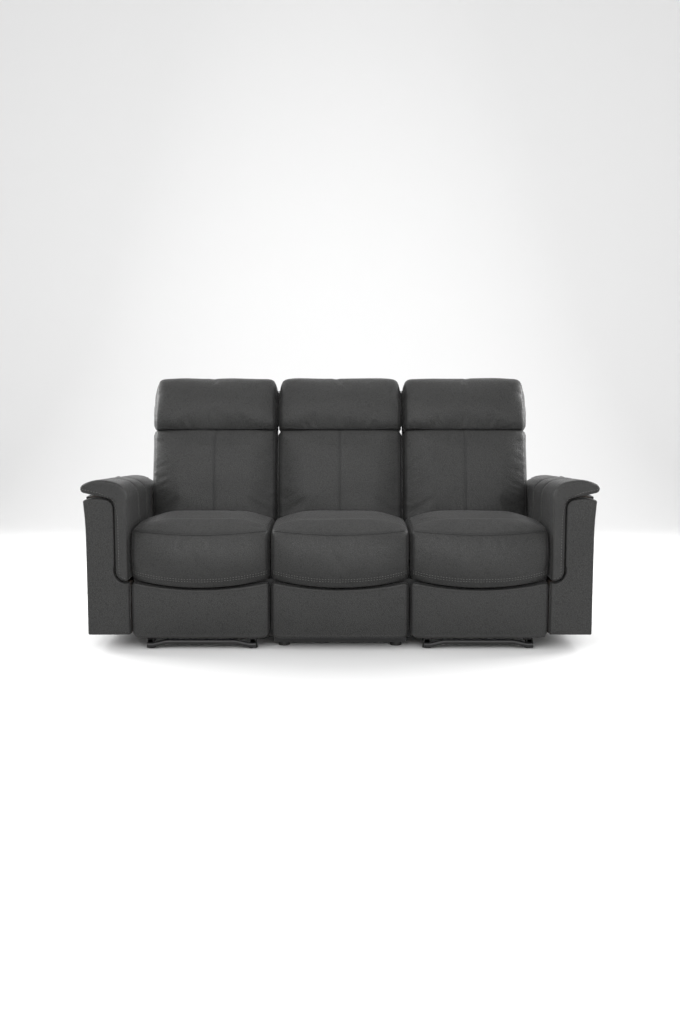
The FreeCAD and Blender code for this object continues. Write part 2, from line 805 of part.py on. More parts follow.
def quarter_bend(x, u, z, radius, side, leaving=False):
    """A quarter turn between the spring's end run along Y and its first run along X."""
    diagonal = radius * math.sqrt(0.5)
    if leaving:
        return Part.Arc(Vector(x + side * radius, u - radius, z),
                        Vector(x + side * (radius - diagonal), u - diagonal, z), Vector(x, u, z)).toShape()
    return Part.Arc(Vector(x, u, z), Vector(x + side * (radius - diagonal), u + diagonal, z),
                    Vector(x + side * radius, u + radius, z)).toShape()


# One reclining seat

def pair(body, middle, x):
    """A steel plate on the seat's right side and its mirror image on the left."""
    place(body, middle + x, ZERO, ZERO)
    return [body, mirrored(body, middle)]


def reclining_seat(side, middle):
    """All pieces of one reclining seat, from its swing links up to its rear cover."""
    for end in ("front", "rear"):
        link = steel_plate(f"{side}_{end}_swing", bars=[(SWING_FOOT[end], SWING_TOP[end])],
                           holes=[SWING_FOOT[end], SWING_TOP[end]])
        node(f"{side}_{end}_swing_links", pair(link, middle, SWING_X))

    margin = d.plate_margin
    front_top, rear_top = SWING_TOP["front"], SWING_TOP["rear"]
    low = front_top[1] - margin * 0.8
    plate_outline = [
        (FRONT_LINK_TOP[0] - margin, d.plate_top_z), (FRONT_LINK_TOP[0] - margin, d.plate_waist_z),
        (front_top[0] - margin, low), (front_top[0] + margin, low),
        (front_top[0] + margin * 3, d.plate_waist_z), (rear_top[0] - margin * 3, d.plate_waist_z),
        (rear_top[0] - margin, low), (rear_top[0] + margin, low),
        (BACK_HINGE[0] + margin, BACK_HINGE[1] - margin), (BACK_HINGE[0] + margin, d.plate_top_z)]
    outward = LAYER + d.plate_thick
    plate = steel_plate(
        f"{side}_side_plate", outlines=[plate_outline],
        studs=[(front_top, outward), (rear_top, outward), (BACK_HINGE, outward), (REAR_LINK_TOP, -LAYER),
               (FRONT_LINK_TOP, -(LAYER * 3 - d.layer_play * 0.3))])
    node(f"{side}_side_plates", pair(plate, middle, SIDE_PLATE_X))

    box_base = d.seat_base_z - d.box_side_height
    length = d.box_rear_u - d.box_front_u
    inner = d.box_side_inner_x
    sides = [board(f"{side}_box_{hand}", middle + x, d.box_front_u, box_base,
                   d.box_board, length, d.box_side_height)
             for hand, x in (("left", -(inner + d.box_board)), ("right", inner))]
    front = board(f"{side}_box_front", middle - inner, d.box_front_u, d.seat_base_z - d.box_front_height,
                  inner * 2, d.box_board, d.box_front_height)
    rear = board(f"{side}_box_rear", middle - SIDE_PLATE_X, d.box_rear_u - d.box_board,
                 d.seat_base_z - d.box_front_height, SIDE_PLATE_X * 2, d.box_board, d.box_front_height)
    node(f"{side}_seat_box", sides + [front, rear])
    node(f"{side}_seat_springs", [seat_springs(f"{side}_springs", middle)])
    node(f"{side}_seat_cushion", [seat_cushion(f"{side}_cushion", middle)])

    front_link = steel_plate(
        f"{side}_front_link", bars=[(FRONT_LINK_TOP, FRONT_LINK_TIP), (FRONT_LINK_TIP, FRONT_LINK_SECOND)],
        holes=[FRONT_LINK_TOP], studs=[(FRONT_LINK_TIP, outward), (FRONT_LINK_SECOND, -LAYER)])
    node(f"{side}_footrest_front_links", pair(front_link, middle, FRONT_LINK_X))
    rear_link = steel_plate(f"{side}_rear_link", bars=[(REAR_LINK_TOP, REAR_LINK_TIP)],
                            holes=[REAR_LINK_TOP], studs=[(REAR_LINK_TIP, -LAYER)])
    node(f"{side}_footrest_rear_links", pair(rear_link, middle, REAR_LINK_X))
    upper_link = steel_plate(
        f"{side}_upper_link", bars=[(REAR_LINK_TIP, FRONT_LINK_TIP), (FRONT_LINK_TIP, BRACKET_LOW)],
        holes=[REAR_LINK_TIP, FRONT_LINK_TIP, BRACKET_LOW])
    node(f"{side}_footrest_drive_links", pair(upper_link, middle, UPPER_LINK_X))
    lower_link = steel_plate(f"{side}_lower_link", bars=[(FRONT_LINK_SECOND, BRACKET_HIGH)],
                             holes=[FRONT_LINK_SECOND, BRACKET_HIGH])
    node(f"{side}_footrest_guide_links", pair(lower_link, middle, LOWER_LINK_X))

    half = d.link_half_width
    web = [(PANEL_BACK_U, BRACKET_LOW[1] - half * 1.4), (BRACKET_LOW[0] + half, BRACKET_LOW[1] - half * 1.4),
           (BRACKET_LOW[0] + half, BRACKET_HIGH[1] + half), (PANEL_BACK_U, BRACKET_HIGH[1] + half)]
    angle_rear_u = PANEL_BACK_U + d.plate_thick
    fold = [web[0], (angle_rear_u, web[0][1]), (angle_rear_u, web[3][1]), web[3]]
    bracket = steel_plate(f"{side}_bracket", outlines=[web], flanges=[(fold, d.bracket_flange)],
                          studs=[(BRACKET_LOW, outward), (BRACKET_HIGH, -LAYER)])
    node(f"{side}_footrest_brackets", pair(bracket, middle, FRONT_LINK_X))
    node(f"{side}_footrest_board", [front_board(f"{side}_foot_board", middle)])
    node(f"{side}_footrest_pad", [front_pad(f"{side}_foot_pad", middle)])

    tube = doc.addObject("Part::Cylinder", f"{side}_tube")
    tube.Placement = FreeCAD.Placement(Vector(0, 0, 0), FreeCAD.Rotation(Vector(0, 1, 0), 90))
    bind(tube, "Radius", d.drive_tube_radius)
    bind(tube, "Height", FRONT_LINK_X * 2)
    place(tube, middle - FRONT_LINK_X, d.front_link_u, d.front_link_z)
    node(f"{side}_footrest_drive_tube", [tube])

    low_joint = (d.back_bracket_n, d.back_bracket_low_w)
    high_joint = (d.back_bracket_n, d.back_bracket_high_w)
    hinge = (ZERO, ZERO)
    iron = steel_plate(f"{side}_back_iron", bars=[(hinge, low_joint), (low_joint, high_joint)], holes=[hinge])
    place(iron, middle + SWING_X, d.back_hinge_u, d.back_hinge_z, d.back_lean)
    node(f"{side}_back_brackets", [iron, mirrored(iron, middle)])
    node(f"{side}_back_frame", back_frame(f"{side}_back", middle))
    node(f"{side}_lumbar_cushion", [back_form(f"{side}_lumbar", middle, lumbar_section)])
    node(f"{side}_headrest", [back_form(f"{side}_head", middle, headrest_section)])
    node(f"{side}_back_cover", [back_cover(f"{side}_cover", middle)])


# The fixed centre seat

def centre_seat():
    """The middle seat, which doesn't recline."""
    half = d.centre_half_width
    base = d.arm_bottom_z
    height = d.seat_base_z - base
    length = d.box_rear_u - d.box_front_u
    sides = [board(f"centre_box_{hand}", x, d.box_front_u, base, d.centre_board, length, height)
             for hand, x in (("left", -half), ("right", half - d.centre_board))]
    inner = (half - d.centre_board) * 2
    ends = [board(f"centre_box_{end}", -(inner / 2), u, base, inner, d.centre_board, height)
            for end, u in (("front", d.box_front_u), ("rear", d.box_rear_u - d.centre_board))]
    spacer = d.box_front_u - PANEL_BACK_U
    panel = board("centre_panel_board", -(d.panel_board_width / 2), PANEL_REAR_U, d.panel_board_bottom_z,
                  d.panel_board_width, d.panel_board_thick + spacer, d.panel_board_height)
    node("centre_base_box", sides + ends + [panel])
    rail_height = base - d.centre_foot_height
    rails = [board(f"centre_rail_{end}", -half, u, d.centre_foot_height,
                   half * 2, d.centre_rail_depth, rail_height)
             for end, u in (("front", d.centre_rail_front_u), ("rear", d.centre_rail_rear_u))]
    node("centre_base_rails", rails)
    node("centre_front_pad", [front_pad("centre_pad", ZERO)])
    node("centre_seat_springs", [seat_springs("centre_springs", ZERO)])
    node("centre_seat_cushion", [seat_cushion("centre_cushion", ZERO)])
    node("centre_back_frame", back_frame("centre_back", ZERO) + centre_back_posts())
    node("centre_lumbar_cushion", [back_form("centre_lumbar", ZERO, lumbar_section)])
    node("centre_headrest", [back_form("centre_head", ZERO, headrest_section)])
    node("centre_back_cover", [back_cover("centre_cover", ZERO)])


def centre_back_posts():
    """Two boards that carry the centre back: they stand behind the base box, inside the uprights."""
    height = d.centre_post_top_z - d.arm_bottom_z
    return [board(f"centre_post_{hand}", x, d.box_rear_u, d.arm_bottom_z,
                  d.centre_board, d.centre_post_depth, height)
            for hand, x in (("left", -BACK_SIDE_X), ("right", BACK_SIDE_X - d.centre_board))]


# Steel base of the reclining seats

def hollow_rail(name, x, u, z, length):
    """A square steel tube along Y."""
    wall = d.base_rail_wall
    outer = board(f"{name}_outer", x, u, z, d.base_rail_width, length, d.base_rail_height)
    hole = board(f"{name}_inner", x + wall, u, z + wall,
                 d.base_rail_width - wall * 2, length, d.base_rail_height - wall * 2)
    return cut(name, outer, hole)


def centre_feet():
    """Four round feet under the centre seat's rails."""
    return [cylinder(f"centre_foot_{hand}_{end}", x, u + d.centre_rail_depth / 2, ZERO,
                     d.centre_foot_radius, d.centre_foot_height)
            for hand, x in (("left", -d.centre_foot_x), ("right", d.centre_foot_x))
            for end, u in (("front", d.centre_rail_front_u), ("rear", d.centre_rail_rear_u))]


def steel_base():
    """Rails and cross tubes under both reclining seats, and the floor glides under all seats."""
    rails, glides, bars = [], centre_feet(), []
    rail_middle = d.base_rail_x + d.base_rail_width / 2
    length = d.base_rail_rear_u - d.base_rail_front_u
    for side, sign in (("left", -1), ("right", 1)):
        middle = d.module_pitch * sign
        for hand, x in (("left", -(d.base_rail_x + d.base_rail_width)), ("right", d.base_rail_x)):
            rails.append(hollow_rail(f"{side}_rail_{hand}", middle + x, d.base_rail_front_u,
                                     d.glide_height, length))
        for end, spot in SWING_FOOT.items():
            rails += pair(base_upright(f"{side}_{end}_upright", spot), middle, UPRIGHT_X)
        for hand, x in (("left", -rail_middle), ("right", rail_middle)):
            for end, u in (("front", d.base_rail_front_u + d.glide_inset),
                           ("rear", d.base_rail_rear_u - d.glide_inset)):
                glides.append(cylinder(f"{side}_glide_{hand}_{end}", middle + x, u, ZERO,
                                       d.glide_radius, d.glide_height, d.glide_top_radius))
        bars.append(front_cross_bar(f"{side}_front_bar", middle))
        rear_bar = doc.addObject("Part::Cylinder", f"{side}_rear_bar")
        rear_bar.Placement = FreeCAD.Placement(Vector(0, 0, 0), FreeCAD.Rotation(Vector(0, 1, 0), 90))
        bind(rear_bar, "Radius", d.cross_bar_radius)
        bind(rear_bar, "Height", d.base_rail_x * 2)
        place(rear_bar, middle - d.base_rail_x, d.base_rail_rear_u - d.glide_inset * 2,
              d.glide_height + d.base_rail_height / 2)
        bars.append(rear_bar)
    node("recliner_base_rails", rails)
    node("floor_glides", glides)
    node("recliner_cross_bars", bars)


def base_upright(name, spot):
    """A steel angle on the base rail that carries one swing link's lower rivet."""
    half = d.upright_half_length
    top = spot[1] + d.link_half_width * 1.4
    web = [(spot[0] - half, RAIL_TOP_Z), (spot[0] + half, RAIL_TOP_Z),
           (spot[0] + half, top), (spot[0] - half, top)]
    foot = [web[0], web[1], (web[1][0], RAIL_TOP_Z + d.plate_thick), (web[0][0], RAIL_TOP_Z + d.plate_thick)]
    return steel_plate(name, outlines=[web], flanges=[(foot, UPRIGHT_X - d.base_rail_x)],
                       studs=[(spot, -LAYER)])


def front_cross_bar(name, middle):
    """The bent tube across the front: low at the rails and raised between them."""
    radius = float(d.cross_bar_radius)
    u = float(d.base_rail_front_u) - radius
    low = float(d.cross_bar_low_z)
    high = low + float(d.cross_bar_rise)
    end = float(d.base_rail_x + d.base_rail_width)
    foot = float(d.cross_bar_foot_x)
    knee = float(d.cross_bar_knee_x)
    points = [Vector(-end, u, low), Vector(-foot, u, low), Vector(-knee, u, high),
              Vector(knee, u, high), Vector(foot, u, low), Vector(end, u, low)]
    return place(bent_tube(name, points, float(d.cross_bar_bend), radius), middle, ZERO, ZERO)


# Arms

def arm_boards():
    """The right arm's wooden frame: a low box with a narrower upper box on it."""
    inner, core, outer = d.arm_inner_x, d.arm_core_x, d.arm_outer_x - d.arm_panel_thick
    thick = d.arm_board
    front = d.arm_front_u + d.arm_post_thick
    rear = d.arm_rear_u - d.arm_panel_thick
    length = rear - front
    base = d.arm_bottom_z
    step_z = d.arm_drape_z - d.panel_hem_play
    top = d.arm_core_top_z
    return [
        board("arm_low_inner", inner, front, base, thick, length, step_z - base - thick),
        board("arm_step", inner, front, step_z - thick, core + thick - inner, length, thick),
        board("arm_high_inner", core, front, step_z, thick, length, top - thick - step_z),
        board("arm_top", core, front, top - thick, outer - core, length, thick),
        board("arm_front", inner + thick, front, base, outer - inner - thick, thick, step_z - base - thick),
        board("arm_rear", inner + thick, rear - thick, base,
              outer - inner - thick, thick, step_z - base - thick),
        board("arm_high_front", core + thick, front, step_z,
              outer - core - thick, thick, top - thick - step_z),
        board("arm_high_rear", core + thick, rear - thick, step_z, outer - core - thick, thick,
              top - thick - step_z)]


def arm_panels():
    """The right arm's covered outer board, with the handle's opening, and its covered rear board."""
    thick = d.arm_panel_thick
    front = d.arm_front_u + d.arm_post_thick
    outer = d.arm_outer_x - thick
    height = d.arm_core_top_z - d.arm_bottom_z
    sheet_board = board("arm_outer_board", outer, front, d.arm_bottom_z, thick, d.arm_rear_u - front, height)
    hole = board("arm_handle_hole", outer, d.handle_u - d.handle_play - d.bezel_wall,
                 d.handle_z - HANDLE_HALF - d.bezel_wall, thick, cup_length(),
                 (HANDLE_HALF + d.bezel_wall) * 2)
    rear_low = board("arm_rear_low", d.arm_inner_x, d.arm_rear_u - thick, d.arm_bottom_z,
                     outer - d.arm_inner_x, thick, d.arm_drape_z - d.arm_bottom_z)
    rear_high = board("arm_rear_high", d.arm_core_x, d.arm_rear_u - thick, d.arm_drape_z,
                      outer - d.arm_core_x, thick, d.arm_core_top_z - d.arm_drape_z)
    return [cut("arm_outer_cover", sheet_board, hole), rear_low, rear_high]


HANDLE_HALF = d.handle_height / 2 + d.handle_play


def cup_length():
    """Outer length of the handle's cup."""
    return d.handle_length + d.handle_play * 2 + d.bezel_wall * 2


def arm_post():
    """The right arm's stuffed front pillar: wide at the foot, narrow above, flared at the top."""
    inner, core, outer = float(d.arm_inner_x), float(d.arm_core_x), float(d.arm_outer_x)
    base, drape, top = float(d.arm_bottom_z), float(d.arm_drape_z), float(d.arm_core_top_z)
    flare, flare_height = float(d.arm_flare), float(d.arm_flare_height)
    ledge = drape - float(d.panel_hem_play)

    def section(u, inset):
        return outline(
            lambda x, z: Vector(x, u, z),
            (inner + inset, base + inset),
            ((outer - inset, base + inset),),
            ((outer - inset, top - flare_height),),
            ((outer + flare * 0.2 - inset, top - flare_height * 0.53), (outer + flare - inset, top - 12)),
            ((outer - 20, top - 3 - inset), (core + 42, top - 4 - inset)),
            ((core + 16 + inset, top - 14 - inset), (core + 3 + inset, top - 40)),
            ((core + 3 + inset, drape + 60),),
            ((core - 8 + inset, ledge + 12 - inset), (core - 30 + inset, ledge - inset)),
            ((inner + inset, ledge - inset),))

    front = float(d.arm_front_u)
    rear = front + float(d.arm_post_thick)
    item = loft("arm_post", [section(front, 7.0), section(front + 5, 1.5), section(front + 12, 0.0),
                             section(rear, 0.0)])
    return place(item, ZERO, ZERO, ZERO)


def handle_bezel():
    """The cup and rim that hold the release handle in the right arm's outer side."""
    length = cup_length()
    half = HANDLE_HALF + d.bezel_wall
    start = d.handle_u - d.handle_play - d.bezel_wall
    face = d.arm_outer_x
    cup = board("bezel_cup", face - d.bezel_depth, start, d.handle_z - half, d.bezel_depth, length, half * 2)
    rim = board("bezel_rim_plate", face, start - d.bezel_rim, d.handle_z - half - d.bezel_rim,
                d.bezel_proud, length + d.bezel_rim * 2, (half + d.bezel_rim) * 2)
    whole = doc.addObject("Part::Fuse", "bezel_whole")
    whole.Base = cup
    whole.Tool = rim
    mouth = board("bezel_mouth", face - d.bezel_depth + d.bezel_wall, d.handle_u - d.handle_play,
                  d.handle_z - HANDLE_HALF, d.bezel_depth,
                   d.handle_length + d.handle_play * 2, HANDLE_HALF * 2)
    open_cup = cut("bezel_open", whole, mouth)
    pin_hole = cylinder("bezel_pin_hole", HANDLE_PIN_X, HANDLE_PIN_U,
                        d.handle_z - HANDLE_HALF - d.bezel_wall * 0.7,
                        d.handle_pin_radius + d.running_clearance, (HANDLE_HALF + d.bezel_wall * 0.7) * 2)
    return cut("handle_bezel", open_cup, pin_hole)


HANDLE_PIN_X = d.arm_outer_x - d.handle_thick
HANDLE_PIN_U = d.handle_u + d.handle_thick


def release_handle():
    """The paddle, with a round barrel and two pin ends at its front."""
    blade = board("handle_blade", HANDLE_PIN_X - d.handle_thick / 2, HANDLE_PIN_U,
                  d.handle_z - d.handle_height / 2,
                  d.handle_thick, d.handle_length - d.handle_thick, d.handle_height)
    barrel = cylinder("handle_barrel", HANDLE_PIN_X, HANDLE_PIN_U, d.handle_z - d.handle_height / 2,
                      d.handle_thick * 0.7, d.handle_height)
    reach = HANDLE_HALF + d.bezel_wall * 0.5
    pin = cylinder("handle_pin", HANDLE_PIN_X, HANDLE_PIN_U,
                   d.handle_z - reach, d.handle_pin_radius, reach * 2)
    whole = doc.addObject("Part::MultiFuse", "handle_whole")
    whole.Shapes = [blade, barrel, pin]
    return whole


def arms():
    """Both arms: each piece is made for the right arm and mirrored for the left."""
    boards = arm_boards()
    node("arm_frames", boards + [mirrored(piece) for piece in boards])
    panels = arm_panels()
    node("arm_outer_panels", panels + [mirrored(piece) for piece in panels])
    post = arm_post()
    node("right_arm_post", [post])
    node("left_arm_post", [mirrored(post)])
    pad = place(arm_pad(), ZERO, ZERO, ZERO)
    node("right_arm_pad", [pad])
    node("left_arm_pad", [mirrored(pad)])
    bezel = handle_bezel()
    node("release_handle_bezels", [bezel, mirrored(bezel)])
    handle = release_handle()
    node("right_release_handle", [handle])
    node("left_release_handle", [mirrored(handle)])


def tie_brackets():
    """Steel angles that tie each reclining seat's base to the arm beside it and to the centre seat."""
    half = d.upright_half_length
    outer_x = UPRIGHT_X + d.plate_thick + d.module_pitch
    inner_x = d.module_pitch - UPRIGHT_X - d.plate_thick
    pieces = []
    for end, spot in SWING_FOOT.items():
        u = spot[0] - half
        pieces.append(board(f"tie_arm_foot_{end}", outer_x, u, RAIL_TOP_Z,
                            d.arm_inner_x - outer_x, half * 2, d.plate_thick))
        pieces.append(board(f"tie_arm_web_{end}", d.arm_inner_x - d.plate_thick,
                            u, RAIL_TOP_Z + d.plate_thick,
                            d.plate_thick, half * 2, d.tie_height))
        pieces.append(board(f"tie_centre_foot_{end}", d.centre_half_width, u, RAIL_TOP_Z,
                            inner_x - d.centre_half_width, half * 2, d.plate_thick))
        pieces.append(board(f"tie_centre_web_{end}", d.centre_half_width, u, RAIL_TOP_Z + d.plate_thick,
                            d.plate_thick, half * 2, d.tie_height))
    node("tie_brackets", pieces + [mirrored(piece) for piece in pieces])


# Build, check and write

for seat_side, seat_sign in (("left", -1), ("right", 1)):
    reclining_seat(seat_side, d.module_pitch * seat_sign)
centre_seat()
steel_base()
arms()
tie_brackets()
doc.recompute()

for item in doc.Objects:
    if "Invalid" in item.State or "Error" in item.State:
        raise RuntimeError(f"{item.Label} failed: {item.State}")
for item in nodes:
    if item.Shape.isNull() or not item.Shape.isValid():
        raise RuntimeError(f"{item.Label} has no valid shape")

os.makedirs("parts", exist_ok=True)
for item in nodes:
    item.Shape.exportStep(f"parts/{item.Label}.step")
print(f"{len(nodes)} sub-parts written")
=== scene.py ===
"""Dress the three-seat reclining sofa: charcoal leather over foam, plywood and black steel."""

import json
import logging
import math
from collections.abc import Callable, Iterable, Sequence
from dataclasses import dataclass
from enum import Enum

import bmesh
import bpy
import numpy as np
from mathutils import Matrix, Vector, noise


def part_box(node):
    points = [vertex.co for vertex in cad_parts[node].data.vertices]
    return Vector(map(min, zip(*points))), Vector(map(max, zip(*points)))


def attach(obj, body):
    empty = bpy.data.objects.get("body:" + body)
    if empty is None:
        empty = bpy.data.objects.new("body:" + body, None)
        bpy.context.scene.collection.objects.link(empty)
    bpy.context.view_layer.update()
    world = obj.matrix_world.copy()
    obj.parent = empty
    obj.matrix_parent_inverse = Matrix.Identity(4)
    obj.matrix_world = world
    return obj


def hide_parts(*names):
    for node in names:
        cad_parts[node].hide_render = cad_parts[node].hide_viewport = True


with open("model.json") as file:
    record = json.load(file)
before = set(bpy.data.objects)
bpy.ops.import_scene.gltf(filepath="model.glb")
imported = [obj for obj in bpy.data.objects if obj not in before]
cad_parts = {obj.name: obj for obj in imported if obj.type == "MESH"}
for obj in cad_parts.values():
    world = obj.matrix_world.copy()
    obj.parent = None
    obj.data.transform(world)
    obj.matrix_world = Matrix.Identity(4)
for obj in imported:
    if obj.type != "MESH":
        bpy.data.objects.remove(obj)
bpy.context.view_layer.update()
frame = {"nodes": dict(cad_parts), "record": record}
LOG = logging.getLogger("reclining_sofa")

Spot = tuple[float, float]
Place = Callable[[float, np.ndarray], np.ndarray]

# Spacing and run of the puckers beside a seam, and of the stuffing's slow waves, in metres
PUCKERS: Spot = (0.017, 0.07)
FINE_PUCKERS: Spot = (0.008, 0.05)
FINE_SHARE = 0.35
WAVES: Spot = (0.13, 0.10)


class Side(Enum):
    """The three seats, from the left of the picture."""

    LEFT = "left"
    CENTRE = "centre"
    RIGHT = "right"

    @property
    def sign(self) -> int:
        """-1 at the left, 0 in the middle and 1 at the right."""
        return {"left": -1, "centre": 0, "right": 1}[self.value]

    def body(self, part: str) -> str:
        """The body that a part of this seat rides on: the centre seat is fixed."""
        return "root" if self is Side.CENTRE else f"{self.value}_{part}"


class Slot(Enum):
    """The record's material slots, named with each new piece when it is booked."""

    UPHOLSTERY = "upholstery_leather"
    POST = "post_leather"
    PANEL = "panel_leather"
    STEEL = "black_steel"


# Small tools

def linear(hex_colour: str) -> tuple[float, float, float, float]:
    """Turn an sRGB colour into linear light.

    Args:
        hex_colour: six hex digits after a hash mark.

    Returns:
        Red, green, blue and a full alpha.
    """
    shares = [int(hex_colour[start:start + 2], 16) / 255 for start in (1, 3, 5)]
    light = [share / 12.92 if share <= 0.04045 else ((share + 0.055) / 1.055) ** 2.4 for share in shares]
    return (light[0], light[1], light[2], 1.0)


def add(tree: bpy.types.NodeTree, kind: str, settings: dict | None = None,
        links: dict | None = None) -> bpy.types.Node:
    """Add a node to a tree.

    Args:
        tree: the material's or the geometry's node tree.
        kind: the node's type name.
        settings: attributes of the node, or values of its inputs by name or number.
        links: output sockets that feed its inputs, by name or number.

    Returns:
        The new node.
    """
    made = tree.nodes.new(kind)
    for key, value in (settings or {}).items():
        if isinstance(key, str) and hasattr(made, key):
            setattr(made, key, value)
        else:
            made.inputs[key].default_value = value
    for key, source in (links or {}).items():
        tree.links.new(source, made.inputs[key])
    return made


def arc_points(start: Spot, via: Spot, end: Spot, steps: int) -> list[Spot]:
    """Points of the arc through three spots, without its start.

    Args:
        start: where the arc begins.
        via: a spot that it passes through.
        end: where it ends.
        steps: how many points it gets.

    Returns:
        The points, the last at the end.
    """
    (ax, ay), (bx, by), (cx, cy) = start, via, end
    cross = (bx - ax) * (cy - ay) - (by - ay) * (cx - ax)
    if abs(cross) < 1e-9:
        return line_points(start, end, steps)
    scale = 2 * (ax * (by - cy) + bx * (cy - ay) + cx * (ay - by))
    a2, b2, c2 = ax * ax + ay * ay, bx * bx + by * by, cx * cx + cy * cy
    mid_x = (a2 * (by - cy) + b2 * (cy - ay) + c2 * (ay - by)) / scale
    mid_y = (a2 * (cx - bx) + b2 * (ax - cx) + c2 * (bx - ax)) / scale
    first = math.atan2(ay - mid_y, ax - mid_x)
    last = math.atan2(cy - mid_y, cx - mid_x)
    turn = (last - first) % math.tau
    if cross < 0:
        turn -= math.tau
    radius = math.hypot(ax - mid_x, ay - mid_y)
    angles = [first + turn * step / steps for step in range(1, steps + 1)]
    return [(mid_x + radius * math.cos(angle), mid_y + radius * math.sin(angle)) for angle in angles]


def line_points(start: Spot, end: Spot, steps: int) -> list[Spot]:
    """Evenly spaced points of a straight run, without its start."""
    return [(start[0] + (end[0] - start[0]) * step / steps, start[1] + (end[1] - start[1]) * step / steps)
            for step in range(1, steps + 1)]


def trace(start: Spot, *moves: tuple) -> np.ndarray:
    """A closed outline. Each move is (end, steps) for a line or (via, end, steps) for an arc.

    Args:
        start: the first point.
        moves: the outline's runs in order; the last one returns to the start.

    Returns:
        One row for each point, with the start only once.
    """
    points = [start]
    for move in moves:
        if len(move) == 2:
            points += line_points(points[-1], move[0], move[1])
        else:
            points += arc_points(points[-1], move[0], move[1], move[2])
    return np.array(points[:-1])


def inset(outline: np.ndarray, distance: float) -> np.ndarray:
    """Move a closed outline inwards along its own normals, by less than half its thickness."""
    ahead = np.roll(outline, -1, axis=0) - outline
    behind = outline - np.roll(outline, 1, axis=0)
    along = ahead / np.linalg.norm(ahead, axis=1)[:, None] + behind / np.linalg.norm(behind, axis=1)[:, None]
    along /= np.linalg.norm(along, axis=1)[:, None]
    normals = np.column_stack([along[:, 1], -along[:, 0]])
    x, y = outline[:, 0], outline[:, 1]
    area = np.sum(x * np.roll(y, -1) - np.roll(x, -1) * y)
    gaps = np.linalg.norm(outline[:, None] - outline[None], axis=2)
    room = np.where(normals @ normals.T < -0.3, gaps, np.inf).min(axis=1)
    reach = np.minimum(distance, 0.42 * room)[:, None] if distance > 0 else distance
    return outline - normals * reach * (1 if area > 0 else -1)


def scene_object(name: str, data: bpy.types.ID) -> bpy.types.Object:
    """Make an object and link it to the scene."""
    made = bpy.data.objects.new(name, data)
    bpy.context.collection.objects.link(made)
    return made


def mesh_object(name: str, points: np.ndarray, faces: Sequence[Sequence[int]]) -> bpy.types.Object:
    """Make a mesh object at the origin, with its faces turned outwards."""
    mesh = bpy.data.meshes.new(name)
    mesh.from_pydata([tuple(point) for point in points], [], [tuple(face) for face in faces])
    shape = bmesh.new()
    shape.from_mesh(mesh)
    bmesh.ops.remove_doubles(shape, verts=shape.verts, dist=1e-6)
    bmesh.ops.recalc_face_normals(shape, faces=shape.faces)
    shape.to_mesh(mesh)
    shape.free()
    return scene_object(name, mesh)


def settle_modifiers(piece: bpy.types.Object) -> None:
    """Turn a piece and its modifiers into a plain smooth mesh."""
    graph = bpy.context.evaluated_depsgraph_get()
    plain = bpy.data.meshes.new_from_object(piece.evaluated_get(graph))
    plain.name = piece.name
    piece.modifiers.clear()
    piece.data = plain
    plain.shade_smooth()


# Finishes

@dataclass(frozen=True)
class Finish:
    """A named material with one shader."""

    name: str
    colour: str

    def start(self) -> tuple[bpy.types.Material, bpy.types.NodeTree, bpy.types.Node, bpy.types.NodeSocket]:
        """Make the empty material.

        Returns:
            The material, its tree, its shader and the object coordinates.
        """
        material = bpy.data.materials.new(self.name)
        material.use_nodes = True
        tree = material.node_tree
        tree.nodes.clear()
        shader = add(tree, "ShaderNodeBsdfPrincipled", {"Base Color": linear(self.colour)})
        add(tree, "ShaderNodeOutputMaterial", links={"Surface": shader.outputs[0]})
        place = add(tree, "ShaderNodeTexCoord").outputs["Object"]
        return material, tree, shader, place

    @staticmethod
    def bump(shader: bpy.types.Node, height: bpy.types.NodeSocket, strength: float, distance: float) -> None:
        """Let a height turn the shader's normal."""
        tree = shader.id_data
        made = add(tree, "ShaderNodeBump", {"Strength": strength, "Distance": distance}, {"Height": height})
        tree.links.new(made.outputs["Normal"], shader.inputs["Normal"])

    @staticmethod
    def gloss(shader: bpy.types.Node, value: bpy.types.NodeSocket, low: float, high: float) -> None:
        """Let a value from 0 to 1 set the shader's roughness between two ends."""
        tree = shader.id_data
        made = add(tree, "ShaderNodeMapRange", {"To Min": low, "To Max": high}, {"Value": value})
        tree.links.new(made.outputs["Result"], shader.inputs["Roughness"])


